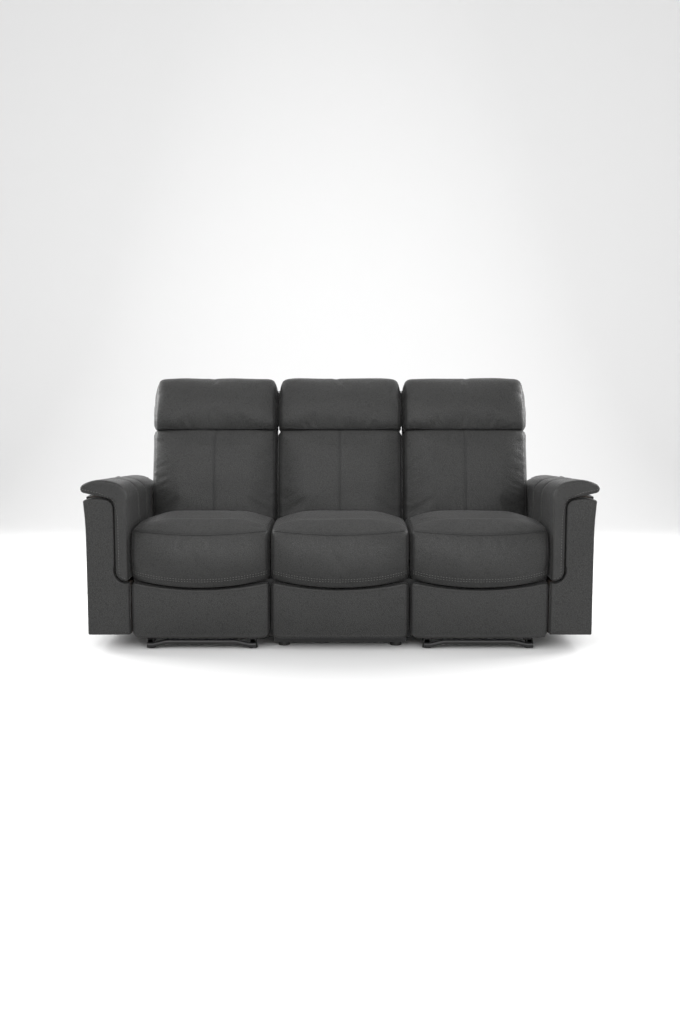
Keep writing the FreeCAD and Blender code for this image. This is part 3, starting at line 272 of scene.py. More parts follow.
@dataclass(frozen=True)
class Leather(Finish):
    """Corrected-grain cowhide: a pebbled, lightly pigmented top coat with a soft sheen."""

    shade: str = "#202020"
    # colour of the painted shade in the pebbles' creases
    crease: str = "#0f0f0e"
    pebble: float = 0.0060
    roughness: float = 0.44
    grain: float = 0.60

    def build(self) -> bpy.types.Material:
        """Make the leather.

        The hide's pebbles are about 1.5 mm across, too fine for the picture, so they are drawn
        at the pebble size; a finer noise breaks the gloss, and a broad one clouds the dye.
        Painted shade darkens the pebbles' creases and the seams.
        """
        material, tree, shader, place = self.start()
        clouds = add(tree, "ShaderNodeTexNoise", {"Scale": 7.0, "Detail": 5.0, "Roughness": 0.6},
                     {"Vector": place})
        dye = add(tree, "ShaderNodeMix", {"data_type": "RGBA", 6: linear(self.shade), 7: linear(self.colour)},
                  {0: clouds.outputs["Fac"]})
        pebbles = add(tree, "ShaderNodeTexVoronoi", {"feature": "DISTANCE_TO_EDGE", "Scale": 1 / self.pebble},
                      {"Vector": place})
        crease = add(tree, "ShaderNodeMapRange", {"From Max": 0.22, "To Max": 1.0},
                     {"Value": pebbles.outputs["Distance"]})
        pores = add(tree, "ShaderNodeTexNoise", {"Scale": 1 / 0.0011, "Detail": 3.0}, {"Vector": place})
        relief = add(tree, "ShaderNodeMix", {"data_type": "FLOAT", 0: 0.35},
                     {2: crease.outputs["Result"], 3: pores.outputs["Fac"]})
        # painted shade: the pebbles' creases darken towards the crease colour
        crease_shade = add(tree, "ShaderNodeMapRange", {"From Min": 0.1, "From Max": 0.7}, {"Value": relief.outputs[0]})
        grained = add(tree, "ShaderNodeMix", {"data_type": "RGBA", 6: linear(self.crease)},
                      {0: crease_shade.outputs["Result"], 7: dye.outputs[2]})
        # painted shade along the seams: the colour darkens towards near-black close to each seam
        seam = add(tree, "ShaderNodeAttribute", {"attribute_name": "seam"})
        shaded = add(tree, "ShaderNodeMix", {"data_type": "RGBA", 7: linear("#0d0d0d")},
                     {0: seam.outputs["Fac"], 6: grained.outputs[2]})
        tree.links.new(shaded.outputs[2], shader.inputs["Base Color"])
        self.bump(shader, relief.outputs[0], self.grain, 0.0010)
        self.gloss(shader, relief.outputs[0], self.roughness + 0.08, self.roughness - 0.04)
        shader.inputs["Specular IOR Level"].default_value = 0.34
        shader.inputs["Sheen Weight"].default_value = 0.05
        shader.inputs["Sheen Roughness"].default_value = 0.45
        return material


@dataclass(frozen=True)
class Coated(Finish):
    """A hard coating or moulding: powder coat on steel, or textured plastic."""

    texture: float = 0.0012
    roughness: float = 0.42
    strength: float = 0.25

    def build(self) -> bpy.types.Material:
        """Make the coating, with the fine orange peel that catches the light unevenly."""
        material, tree, shader, place = self.start()
        peel = add(tree, "ShaderNodeTexNoise", {"Scale": 1 / self.texture, "Detail": 2.0}, {"Vector": place})
        self.bump(shader, peel.outputs["Fac"], self.strength, 0.0003)
        rub = add(tree, "ShaderNodeTexNoise", {"Scale": 22.0, "Detail": 4.0}, {"Vector": place})
        self.gloss(shader, rub.outputs["Fac"], self.roughness - 0.08, self.roughness + 0.12)
        return material


@dataclass(frozen=True)
class DrawnWire(Finish):
    """Bare drawn spring steel, with faint lines along the draw."""

    def build(self) -> bpy.types.Material:
        """Make the wire's steel."""
        material, tree, shader, place = self.start()
        shader.inputs["Metallic"].default_value = 1.0
        lines = add(tree, "ShaderNodeTexNoise", {"Scale": 420.0, "Detail": 3.0}, {"Vector": place})
        self.gloss(shader, lines.outputs["Fac"], 0.28, 0.5)
        return material


@dataclass(frozen=True)
class Plywood(Finish):
    """Plywood and pine coloured dark as painted shade where the frame shows in the gaps: faint bands of grain
    along the sofa's depth.
    """

    dark: str = "#2a2119"
    ring: float = 0.009

    def build(self) -> bpy.types.Material:
        """Make the wood, with grain stretched along Y and fibre in the bump."""
        material, tree, shader, place = self.start()
        stretch = add(tree, "ShaderNodeMapping", {"Scale": (1.0, 0.06, 1.0)}, {"Vector": place})
        rings = add(tree, "ShaderNodeTexNoise", {"Scale": 1 / self.ring, "Detail": 6.0, "Distortion": 0.6},
                    {"Vector": stretch.outputs[0]})
        tone = add(tree, "ShaderNodeMix", {"data_type": "RGBA", 6: linear(self.dark), 7: linear(self.colour)},
                   {0: rings.outputs["Fac"]})
        tree.links.new(tone.outputs[2], shader.inputs["Base Color"])
        self.bump(shader, rings.outputs["Fac"], 0.2, 0.0004)
        shader.inputs["Roughness"].default_value = 0.72
        return material


@dataclass(frozen=True)
class Fibre(Finish):
    """Matt fibres with a fine tooth, such as bonded sewing thread and studio paper."""

    scale: float = 900.0
    tooth: float = 0.3
    depth: float = 0.0002
    roughness: float = 0.5

    def build(self) -> bpy.types.Material:
        """Make the fibres, with a tooth too fine to show drawn as a soft mottling."""
        material, tree, shader, place = self.start()
        mottling = add(tree, "ShaderNodeTexNoise", {"Scale": self.scale}, {"Vector": place})
        self.bump(shader, mottling.outputs["Fac"], self.tooth, self.depth)
        shader.inputs["Roughness"].default_value = self.roughness
        return material


class Palette:
    """Every finish, made once."""

    def __init__(self) -> None:
        """Build the materials that the pieces share."""
        self.leather = Leather("Charcoal grained leather", "#2e2e2d").build()
        self.board_leather = Leather("Charcoal leather on boards", "#2f2f2e", grain=0.55,
                                     roughness=0.48).build()
        self.thread = Fibre("Grey bonded thread", "#5d5d5b").build()
        # painted shadow: the near-black finish of the cords laid in the seams' grooves
        self.seam_shadow = Fibre("Painted seam shadow", "#121212").build()
        self.steel = Coated("Black powder-coated steel", "#101011").build()
        self.plastic = Coated("Black moulded plastic", "#151515", texture=0.0008, roughness=0.5).build()
        # painted shade: a near-black board for the slit behind each panel and the gaps between the seats
        self.shade_board = Coated("Black hardboard", "#0f0f0f", texture=0.002, roughness=0.8).build()
        self.wire = DrawnWire("Drawn spring steel", "#9b9b9a").build()
        # painted shade: the wood is coloured dark so that the frame reads as shade where it shows
        self.wood = Plywood("Plywood and pine darkened as painted shade", "#463729").build()
        self.paper = Fibre("Studio paper", "#dcdcdc", 300.0, 0.04, 0.0003, 0.95).build()


# Geometry node trees for what repeats or follows a seam

class SeamTrees:
    """The node trees that lay stitches, seam cords and rivets."""

    def __init__(self) -> None:
        """Build each tree once."""
        self.stitches = self._stitch_tree()
        self.cord = self._cord_tree()
        self.rivets = self._rivet_tree()

    @staticmethod
    def _new_tree(name: str, sizes: Iterable[str]) -> tuple[bpy.types.NodeTree, bpy.types.Node]:
        """Start a tree with a geometry input, named sizes and a material.

        Args:
            name: the tree's name.
            sizes: names of its length inputs.

        Returns:
            The tree and its input node.
        """
        tree = bpy.data.node_groups.new(name, "GeometryNodeTree")
        tree.interface.new_socket("Geometry", in_out="INPUT", socket_type="NodeSocketGeometry")
        for size in sizes:
            tree.interface.new_socket(size, in_out="INPUT", socket_type="NodeSocketFloat")
        tree.interface.new_socket("Material", in_out="INPUT", socket_type="NodeSocketMaterial")
        tree.interface.new_socket("Geometry", in_out="OUTPUT", socket_type="NodeSocketGeometry")
        return tree, add(tree, "NodeGroupInput")

    @staticmethod
    def _finish_tree(tree: bpy.types.NodeTree, given: bpy.types.Node, shape: bpy.types.NodeSocket) -> None:
        """End a tree with realised instances and its material."""
        real = add(tree, "GeometryNodeRealizeInstances", links={"Geometry": shape})
        painted = add(tree, "GeometryNodeSetMaterial", links={"Geometry": real.outputs[0],
                                                              "Material": given.outputs["Material"]})
        add(tree, "NodeGroupOutput", links={0: painted.outputs[0]})

    def _stitch_tree(self) -> bpy.types.NodeTree:
        """Short thread beads, one for each pitch along a seam."""
        tree, given = self._new_tree("Stitches", ("Pitch", "Length", "Radius"))
        run = add(tree, "GeometryNodeResampleCurve", {"mode": "LENGTH"},
                  {"Curve": given.outputs["Geometry"], "Length": given.outputs["Pitch"]})
        bead = add(tree, "GeometryNodeMeshIcoSphere", {"Subdivisions": 1}, {"Radius": given.outputs["Radius"]})
        ratio = add(tree, "ShaderNodeMath", {"operation": "DIVIDE"},
                    {0: given.outputs["Length"], 1: given.outputs["Radius"]})
        half = add(tree, "ShaderNodeMath", {"operation": "MULTIPLY", 1: 0.5}, {0: ratio.outputs[0]})
        stretch = add(tree, "ShaderNodeCombineXYZ", {"Y": 1.0, "Z": 1.0}, {"X": half.outputs[0]})
        tangent = add(tree, "GeometryNodeInputTangent")
        facing = add(tree, "FunctionNodeAlignRotationToVector", {"axis": "X"}, {"Vector": tangent.outputs[0]})
        beads = add(tree, "GeometryNodeInstanceOnPoints", links={
            "Points": run.outputs[0], "Instance": bead.outputs[0],
            "Rotation": facing.outputs[0], "Scale": stretch.outputs[0]})
        self._finish_tree(tree, given, beads.outputs[0])
        return tree

    def _cord_tree(self) -> bpy.types.NodeTree:
        """A thin round line that fills a seam: with the near-black finish it is given, a painted shadow in the
        seam's groove.
        """
        tree, given = self._new_tree("Seam line", ("Radius",))
        run = add(tree, "GeometryNodeResampleCurve", {"mode": "LENGTH", "Length": 0.008},
                  {"Curve": given.outputs["Geometry"]})
        ring = add(tree, "GeometryNodeCurvePrimitiveCircle", {"Resolution": 6},
                   {"Radius": given.outputs["Radius"]})
        tube = add(tree, "GeometryNodeCurveToMesh", {"Fill Caps": True},
                   {"Curve": run.outputs[0], "Profile Curve": ring.outputs[0]})
        self._finish_tree(tree, given, tube.outputs[0])
        return tree

    def _rivet_tree(self) -> bpy.types.NodeTree:
        """A low domed rivet head on each point of a short line along X."""
        tree, given = self._new_tree("Rivet heads", ("Radius", "Height"))
        dome = add(tree, "GeometryNodeMeshUVSphere", {"Segments": 20, "Rings": 10, "Radius": 1.0})
        scale = add(tree, "ShaderNodeCombineXYZ", links={
            "X": given.outputs["Height"], "Y": given.outputs["Radius"], "Z": given.outputs["Radius"]})
        heads = add(tree, "GeometryNodeInstanceOnPoints", links={
            "Points": given.outputs["Geometry"], "Instance": dome.outputs[0], "Scale": scale.outputs[0]})
        self._finish_tree(tree, given, heads.outputs[0])
        return tree


def grow(piece: bpy.types.Object, tree: bpy.types.NodeTree, values: dict[str, object]) -> bpy.types.Object:
    """Run a geometry tree on a curve or point object and keep only the plain mesh.

    Args:
        piece: the object that holds the paths or points.
        tree: the geometry node tree.
        values: the tree's inputs by name.

    Returns:
        A mesh object with the same name.
    """
    modifier = piece.modifiers.new("Grow", "NODES")
    modifier.node_group = tree
    sockets = {item.name: item.identifier for item in tree.interface.items_tree if item.in_out == "INPUT"}
    for name, value in values.items():
        modifier[sockets[name]] = value
    bpy.context.view_layer.update()
    graph = bpy.context.evaluated_depsgraph_get()
    plain = bpy.data.meshes.new_from_object(piece.evaluated_get(graph))
    name = piece.name
    bpy.data.objects.remove(piece)
    plain.name = name
    plain.shade_smooth()
    return scene_object(name, plain)


def path_object(name: str, paths: Sequence[Sequence[Vector]]) -> bpy.types.Object:
    """A curve object whose splines run through the paths' points."""
    curve = bpy.data.curves.new(name, "CURVE")
    curve.dimensions = "3D"
    for path in paths:
        spline = curve.splines.new("POLY")
        spline.points.add(len(path) - 1)
        for point, spot in zip(spline.points, path):
            point.co = (*spot, 1.0)
    return scene_object(name, curve)


# Stuffed covers

@dataclass
class Stuffing:
    """How hard a cover is stuffed, for the cloth run that swells it."""

    pressure: float = 4.0
    slack: float = 0.006
    most: float = 0.012
    frames: int = 20

    def swell(self, piece: bpy.types.Object, free: np.ndarray) -> None:
        """Blow the cover up where it is free and keep the result in its mesh.

        Args:
            piece: the cover, already as a closed mesh.
            free: for each vertex, the share of the farthest move that it may make.
        """
        held = piece.vertex_groups.new(name="held")
        held.add([index for index, share in enumerate(free) if share <= 0], 1.0, "REPLACE")
        cloth = piece.modifiers.new("Stuffing", "CLOTH")
        cloth.settings.quality = 4
        cloth.settings.mass = 0.25
        cloth.settings.tension_stiffness = 12
        cloth.settings.compression_stiffness = 8
        cloth.settings.shear_stiffness = 6
        cloth.settings.bending_stiffness = 0.4
        cloth.settings.use_pressure = True
        cloth.settings.uniform_pressure_force = self.pressure
        cloth.settings.shrink_min = -self.slack
        cloth.settings.vertex_group_mass = held.name
        cloth.settings.effector_weights.gravity = 0
        cloth.collision_settings.use_collision = False
        cloth.point_cache.frame_start = 1
        cloth.point_cache.frame_end = self.frames
        rest = np.array([vertex.co for vertex in piece.data.vertices])
        scene = bpy.context.scene
        for number in range(1, self.frames + 1):
            scene.frame_set(number)
        swollen = piece.evaluated_get(bpy.context.evaluated_depsgraph_get()).data
        moved = np.array([vertex.co for vertex in swollen.vertices]) - rest
        piece.modifiers.remove(cloth)
        piece.vertex_groups.remove(held)
        scene.frame_set(1)
        reach = np.linalg.norm(moved, axis=1)
        most = self.most * np.clip(free, 0, 1)
        share = np.minimum(1.0, most / np.maximum(reach, 1e-9))
        for vertex, base, step in zip(piece.data.vertices, rest, moved * share[:, None]):
            vertex.co = base + step


@dataclass
class Shell:
    """A closed cover made of outlines in a row, rounded and capped at both ends."""

    stations: np.ndarray
    insets: np.ndarray
    rings: np.ndarray
    lengths: np.ndarray
    piece: bpy.types.Object

    @staticmethod
    def stations_of(low: float, high: float, rounding: float, step: float,
                    marks: Sequence[float] = ()) -> list[tuple[float, float]]:
        """Places of the outlines between two ends, closer together in the rounded ends.

        Args:
            low: the first end.
            high: the last end.
            rounding: radius of the rounded ends.
            step: the widest gap between outlines.
            marks: places that get an outline of their own.

        Returns:
            Pairs of a place and how far its outline is drawn in.
        """
        turns = [math.radians(angle) for angle in (20, 40, 60, 78, 90)]
        stops = sorted({low + rounding, high - rounding, *marks})
        middle = [low + rounding]
        for near, far in zip(stops, stops[1:]):
            count = max(1, math.ceil((far - near) / step))
            middle += [near + (far - near) * number / count for number in range(1, count + 1)]
        start = [(low + rounding - rounding * math.sin(turn), rounding * (1 - math.cos(turn)))
                 for turn in reversed(turns)]
        end = [(high - rounding + rounding * math.sin(turn), rounding * (1 - math.cos(turn)))
               for turn in turns]
        return start + [(place, 0.0) for place in middle] + end

    @classmethod
    def build(cls, name: str, stations: Sequence[Spot], outline: Callable[[float], np.ndarray], place: Place,
              cap_steps: Sequence[float] = (0.004, 0.010), puff: float = 0.0) -> "Shell":
        """Make the cover's mesh.

        Args:
            name: the piece's name.
            stations: places of the outlines and how far each is drawn in.
            outline: gives the outline at a place.
            place: turns a place and an outline into points.
            cap_steps: further insets of the flat ends.
            puff: how far the ends stand out past the first and last outline.

        Returns:
            The shell, with its mesh object.
        """
        where = [station for station, _ in stations]
        drawn = [distance for _, distance in stations]
        caps = [drawn[0] + step for step in reversed(cap_steps)], [drawn[-1] + step for step in cap_steps]
        rises = [puff * step / cap_steps[-1] for step in cap_steps]
        where = [where[0] - rise for rise in reversed(rises)] + where + [where[-1] + rise for rise in rises]
        drawn = caps[0] + drawn + caps[1]
        flat = [inset(outline(station), distance) for station, distance in zip(where, drawn)]
        rings = np.array([place(station, points) for station, points in zip(where, flat)])
        runs = np.array([np.linalg.norm(np.diff(outline(station), axis=0), axis=1) for station in where])
        lengths = np.concatenate([np.zeros((len(where), 1)), np.cumsum(runs, axis=1)], axis=1)
        rows, around = rings.shape[:2]
        faces = [(row * around + spot, row * around + (spot + 1) % around,
                  (row + 1) * around + (spot + 1) % around, (row + 1) * around + spot)
                 for row in range(rows - 1) for spot in range(around)]
        faces += [tuple(range(around)), tuple(range((rows - 1) * around, rows * around))]
        mesh = bpy.data.meshes.new(name)
        mesh.from_pydata([tuple(point) for point in rings.reshape(-1, 3)], [], faces)
        shape = bmesh.new()
        shape.from_mesh(mesh)
        bmesh.ops.triangulate(shape, faces=[face for face in shape.faces if len(face.verts) > 4])
        bmesh.ops.recalc_face_normals(shape, faces=shape.faces)
        shape.to_mesh(mesh)
        shape.free()
        return cls(np.array(where), np.array(drawn), rings, lengths, scene_object(name, mesh))

    def grid(self, values: Callable[[float, float, float], float]) -> np.ndarray:
        """One value for each vertex, from its station, its inset and its length along the outline."""
        return np.array([[values(station, drawn, length) for length in row]
                         for station, drawn, row in zip(self.stations, self.insets, self.lengths)]).ravel()

    def lengths_at(self, spot: int) -> dict[float, float]:
        """Length along each outline up to one of its points, by the outline's place."""
        return {round(station, 6): row[spot] for station, row in zip(self.stations, self.lengths)}

    def side_paths(self, middle: float, reach: float, runs: Sequence[float], lift: float) -> list[list[Vector]]:
        """Two paths along the outlines, at one distance to both sides of a middle."""
        return [[self.point(middle + sign * reach, length, lift) for length in runs] for sign in (-1, 1)]

    def carve(self, relief: np.ndarray, seam: np.ndarray | None = None) -> None:
        """Move each vertex along its normal by the relief, and keep how near it is to a seam, where the leather is
        darkened as painted shade.
        """
        normals = [vertex.normal.copy() for vertex in self.piece.data.vertices]
        for vertex, normal, height in zip(self.piece.data.vertices, normals, relief):
            vertex.co += normal * height
        mark = self.piece.data.attributes.new("seam", "FLOAT", "POINT")
        nearness = np.zeros(len(relief)) if seam is None else seam
        mark.data.foreach_set("value", nearness.astype(np.float32))

    def finish(self) -> None:
        """Keep the swollen and carved points, and smooth the cover by one subdivision."""
        points = np.array([vertex.co for vertex in self.piece.data.vertices])
        self.rings = points.reshape(self.rings.shape)
        smooth = self.piece.modifiers.new("Smooth", "SUBSURF")
        smooth.levels = smooth.render_levels = 1
        settle_modifiers(self.piece)

    def point(self, station: float, length: float, lift: float) -> Vector:
        """The cover's surface point nearest to a station and a length along its outline."""
        inner = self.stations[2:-2]
        row = int(np.searchsorted(inner, station).clip(1, len(inner) - 1)) + 2
        span = self.stations[row] - self.stations[row - 1]
        share = 0.0 if span < 1e-9 else (station - self.stations[row - 1]) / span
        ends = [self._along(row - 1, length), self._along(row, length)]
        spot = ends[0] * (1 - share) + ends[1] * share
        _, nearest, normal, _ = self.piece.closest_point_on_mesh(Vector(spot))
        return nearest + normal * lift

    def _along(self, row: int, length: float) -> np.ndarray:
        """The point at a length along one outline."""
        lengths, ring = self.lengths[row], self.rings[row]
        spot = int(np.searchsorted(lengths, length).clip(1, len(lengths) - 1))
        share = (length - lengths[spot - 1]) / max(lengths[spot] - lengths[spot - 1], 1e-9)
        return ring[spot - 1] * (1 - share) + ring[spot] * share


def gather(distance: float, along: float, seed: float, reach: float, height: float) -> float:
    """Puckers that run off a seam and fade with the distance from it.

    Args:
        distance: how far the point is from the seam.
        along: its place along the seam.
        seed: makes each seam's puckers its own.
        reach: how far they run.
        height: how deep they are at the seam.

    Returns:
        A height, in metres.
    """
    if distance > reach * 4:
        return 0.0
    pattern = noise.noise(Vector((along / PUCKERS[0], distance / PUCKERS[1], seed)))
    fine = noise.noise(Vector((along / FINE_PUCKERS[0], distance / FINE_PUCKERS[1], seed + 7.3)))
    return height * (pattern + FINE_SHARE * fine) * math.exp(-distance / reach)


def waviness(x: float, length: float, seed: float, height: float) -> float:
    """The slow unevenness of stuffing under a cover."""
    return height * noise.noise(Vector((x / WAVES[0], length / WAVES[1], seed)))


def corner_cut(off: float, half_width: float, corner: float) -> float:
    """How much height a rounded corner takes at a distance from the middle."""
    past = min(max(0.0, off - (half_width - corner)), corner)
    return corner - math.sqrt(max(0.0, corner ** 2 - past ** 2))


def groove(distance: float, depth: float, width: float) -> float:
    """A seam's furrow."""
    return -depth * math.exp(-(distance / width) ** 2)


class Workshop:
    """What every sub-assembly needs: finishes, trees and a way to book finished pieces."""

    def __init__(self) -> None:
        """Prepare the finishes and the seam trees."""
        self.palette = Palette()
        self.trees = SeamTrees()

    def book(self, piece: bpy.types.Object, body: str, slot: Slot, material: bpy.types.Material | None = None,
             nodes: Sequence[str] = ()) -> bpy.types.Object:
        """Give a piece its material, its body and what it stands for.

        Args:
            piece: the finished mesh object.
            body: the body that it rides on.
            slot: the record's material slot; not used.
            material: its finish, unless a tree has set it.
            nodes: the CAD nodes that it replaces.

        Returns:
            The same piece.
        """
        if material is not None:
            piece.data.materials.clear()
            piece.data.materials.append(material)
        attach(piece, body)
        if nodes:
            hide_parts(*nodes)
        LOG.info("%s rides on %s, %d faces", piece.name, body, len(piece.data.polygons))
        return piece

    def stitch(self, name: str, paths: Sequence[Sequence[Vector]], body: str, slot: Slot = Slot.UPHOLSTERY,
               pitch: float = 0.0110, length: float = 0.0068, radius: float = 0.0009) -> None:
        """Lay rows of topstitching. Real stitches are about 4 mm long, drawn longer so that they show."""
        rows = grow(path_object(name, paths), self.trees.stitches,
                    {"Pitch": pitch, "Length": length, "Radius": radius, "Material": self.palette.thread})
        self.book(rows, body, slot)

    def seam(self, name: str, paths: Sequence[Sequence[Vector]], body: str, slot: Slot = Slot.UPHOLSTERY,
             radius: float = 0.0014) -> None:
        """Lay the dark line where two panels meet: a cord that is a painted shadow in the seam's groove."""
        lines = grow(path_object(name, paths), self.trees.cord,
                     {"Radius": radius, "Material": self.palette.seam_shadow})
        self.book(lines, body, slot)


# The seats

@dataclass
class SeatShape:
    """Sizes that the three seats share, in metres."""

    half_width: float = 0.2665
    front_y: float = -0.470
    edge_radius: float = 0.012
    side_puff: float = 0.0035
    seam_turn: float = 40.0
    step: float = 0.011

    @property
    def seam_x(self) -> float:
        """Distance of the side seams from the middle of the seat."""
        return self.half_width - self.edge_radius * (1 - math.sin(math.radians(self.seam_turn)))

    def hem_height(self, share: float) -> float:
        """Height of the seat's lower front edge, which bows down in the middle."""
        return 0.249 + 0.028 * share ** 2

    def stations(self, middle: float, rounding: float | None = None) -> list[tuple[float, float]]:
        """Places of the outlines across one seat."""
        radius = self.edge_radius if rounding is None else rounding
        return Shell.stations_of(middle - self.half_width, middle + self.half_width, radius, self.step)

    def set_down(self, x: float, points: np.ndarray) -> np.ndarray:
        """Turn an outline in u and z into points of the sofa."""
        return np.column_stack([np.full(len(points), x), points[:, 0] + self.front_y, points[:, 1]])


@dataclass
class SeatPart:
    """A piece of one seat, alike on both sides of the seat's middle."""

    side: Side
    middle: float

    def from_side(self, station: float, seam_x: float) -> float:
        """How far a place is from the nearer of the two side seams."""
        return abs(abs(station - self.middle) - seam_x)


@dataclass
class SeatCushion(SeatPart):
    """The stuffed seat with its rolled front, a seam along the front edge and a double topstitch."""

    shape: SeatShape
    bulge: float = 0.046
    hem_u: float = 0.026
    front_seam_z: float = 0.459
    front_seam_rise: float = 0.016
    top_z: float = 0.502
    side_drop: float = 0.024
    rear_u: float = 0.550
    base_z: float = 0.326
    roll_u: float = 0.093
    roll_z: float = 0.292
    topstitch_above_hem: float = 0.030
    topstitch_gap: float = 0.010
    front_steps: int = 30
    lip_steps: int = 10
    top_steps: int = 44
    edge_steps: int = 8
    rear_held: int = 4

    def outline(self, x: float) -> np.ndarray:
        """The cushion's outline in u and z at a place across the sofa."""
        share = min(1.0, abs(x - self.middle) / self.shape.half_width)
        front = self.bulge * share ** 2.6
        drop = self.side_drop * share ** 4
        hem_z = self.shape.hem_height(share)
        seam_z = self.front_seam_z + self.front_seam_rise * share ** 2 - drop * 0.25
        top = self.top_z - drop
        fold_u = front + self.hem_u
        span = self.rear_u - self.roll_u
        rise = top - seam_z
        return trace(
            (fold_u, hem_z),
            ((front, (hem_z + seam_z) / 2), (fold_u, seam_z), self.front_steps),
            ((fold_u + 0.09 * span, top - 0.34 * rise), (self.roll_u + 0.12 * span, top - 0.14 * rise),
             self.lip_steps),
            ((self.roll_u + 0.45 * span, top), (self.rear_u - 0.046, top - 0.020), self.top_steps),
            ((self.rear_u - 0.011, top - 0.033), (self.rear_u, top - 0.060), self.edge_steps),
            ((self.rear_u, self.base_z), 10),
            ((self.roll_u, self.base_z), 22),
            ((self.roll_u, self.roll_z), 4),
            ((fold_u, hem_z), 8))

    def build(self, shop: Workshop) -> None:
        """Make the cushion and its seams."""
        name = f"{self.side.value}_seat_cushion"
        shell = Shell.build(f"{name}_cover", self.shape.stations(self.middle), self.outline,
                            self.shape.set_down, puff=self.shape.side_puff)
        seam_x = self.shape.seam_x
        fronts = shell.lengths_at(self.front_steps)
        ends = shell.lengths_at(self.front_steps + self.lip_steps + self.top_steps + self.edge_steps
                                + self.rear_held)
        seed = 3.1 + self.side.sign * 11.7

        def free(station: float, drawn: float, length: float) -> float:
            front = fronts[round(station, 6)]
            if drawn >= self.shape.edge_radius * 0.9 or length > ends[round(station, 6)] or length < 1e-6:
                return 0.0
            from_side = self.from_side(station, seam_x)
            from_front = abs(length - front)
            near = min(from_side / 0.03, from_front / 0.022, length / 0.03, 1.0)
            return 0.0 if near < 0.05 else near * (0.25 if drawn > 0.003 else 1.0)

        def relief(station: float, drawn: float, length: float) -> float:
            front = fronts[round(station, 6)]
            if length > ends[round(station, 6)] or length < 1e-6:
                return 0.0
            side = self.from_side(station, seam_x)
            across = station - self.middle
            height = groove(side, 0.0018, 0.0035) + groove(length - front, 0.0022, 0.0035)
            height += gather(side, length, seed, 0.016, 0.0010)
            height += gather(abs(length - front), across, seed + 5, 0.014, 0.0007)
            edge = min(1.0, side / 0.04)
            return height + waviness(across, length, seed + 9, 0.0022) * edge

        def seam(station: float, drawn: float, length: float) -> float:
            side = self.from_side(station, seam_x)
            near = min(side, abs(length - fronts[round(station, 6)]))
            return 0.7 * math.exp(-(near / 0.0025) ** 2)

        Stuffing(most=0.009).swell(shell.piece, shell.grid(free))
        shell.carve(shell.grid(relief), shell.grid(seam))
        shell.finish()
        body = self.side.body("seat")
        shop.book(shell.piece, body, Slot.UPHOLSTERY, shop.palette.leather, [name])
        reach = seam_x - 0.004
        spots = np.linspace(self.middle - reach, self.middle + reach, 66)

        def row(above: float, lift: float, from_hem: bool) -> list[Vector]:
            return [shell.point(x, above if from_hem else self._front_length(x) + above, lift) for x in spots]

        shop.seam(f"{name}_front_seam", [row(0.0, 0.0002, False)], body, radius=0.0018)
        shop.stitch(f"{name}_double_topstitch", [
            row(self.topstitch_above_hem, 0.0003, True),
            row(self.topstitch_above_hem + self.topstitch_gap, 0.0003, True)], body)
        runs = np.linspace(0.012, 0.70, 80)
        shop.seam(f"{name}_side_seams", shell.side_paths(self.middle, seam_x, runs, -0.0002), body)

    def _front_length(self, x: float) -> float:
        """Length from the hem to the front seam at a place across the sofa."""
        points = self.outline(x)[:self.front_steps + 1]
        return float(np.linalg.norm(np.diff(points, axis=0), axis=1).sum())


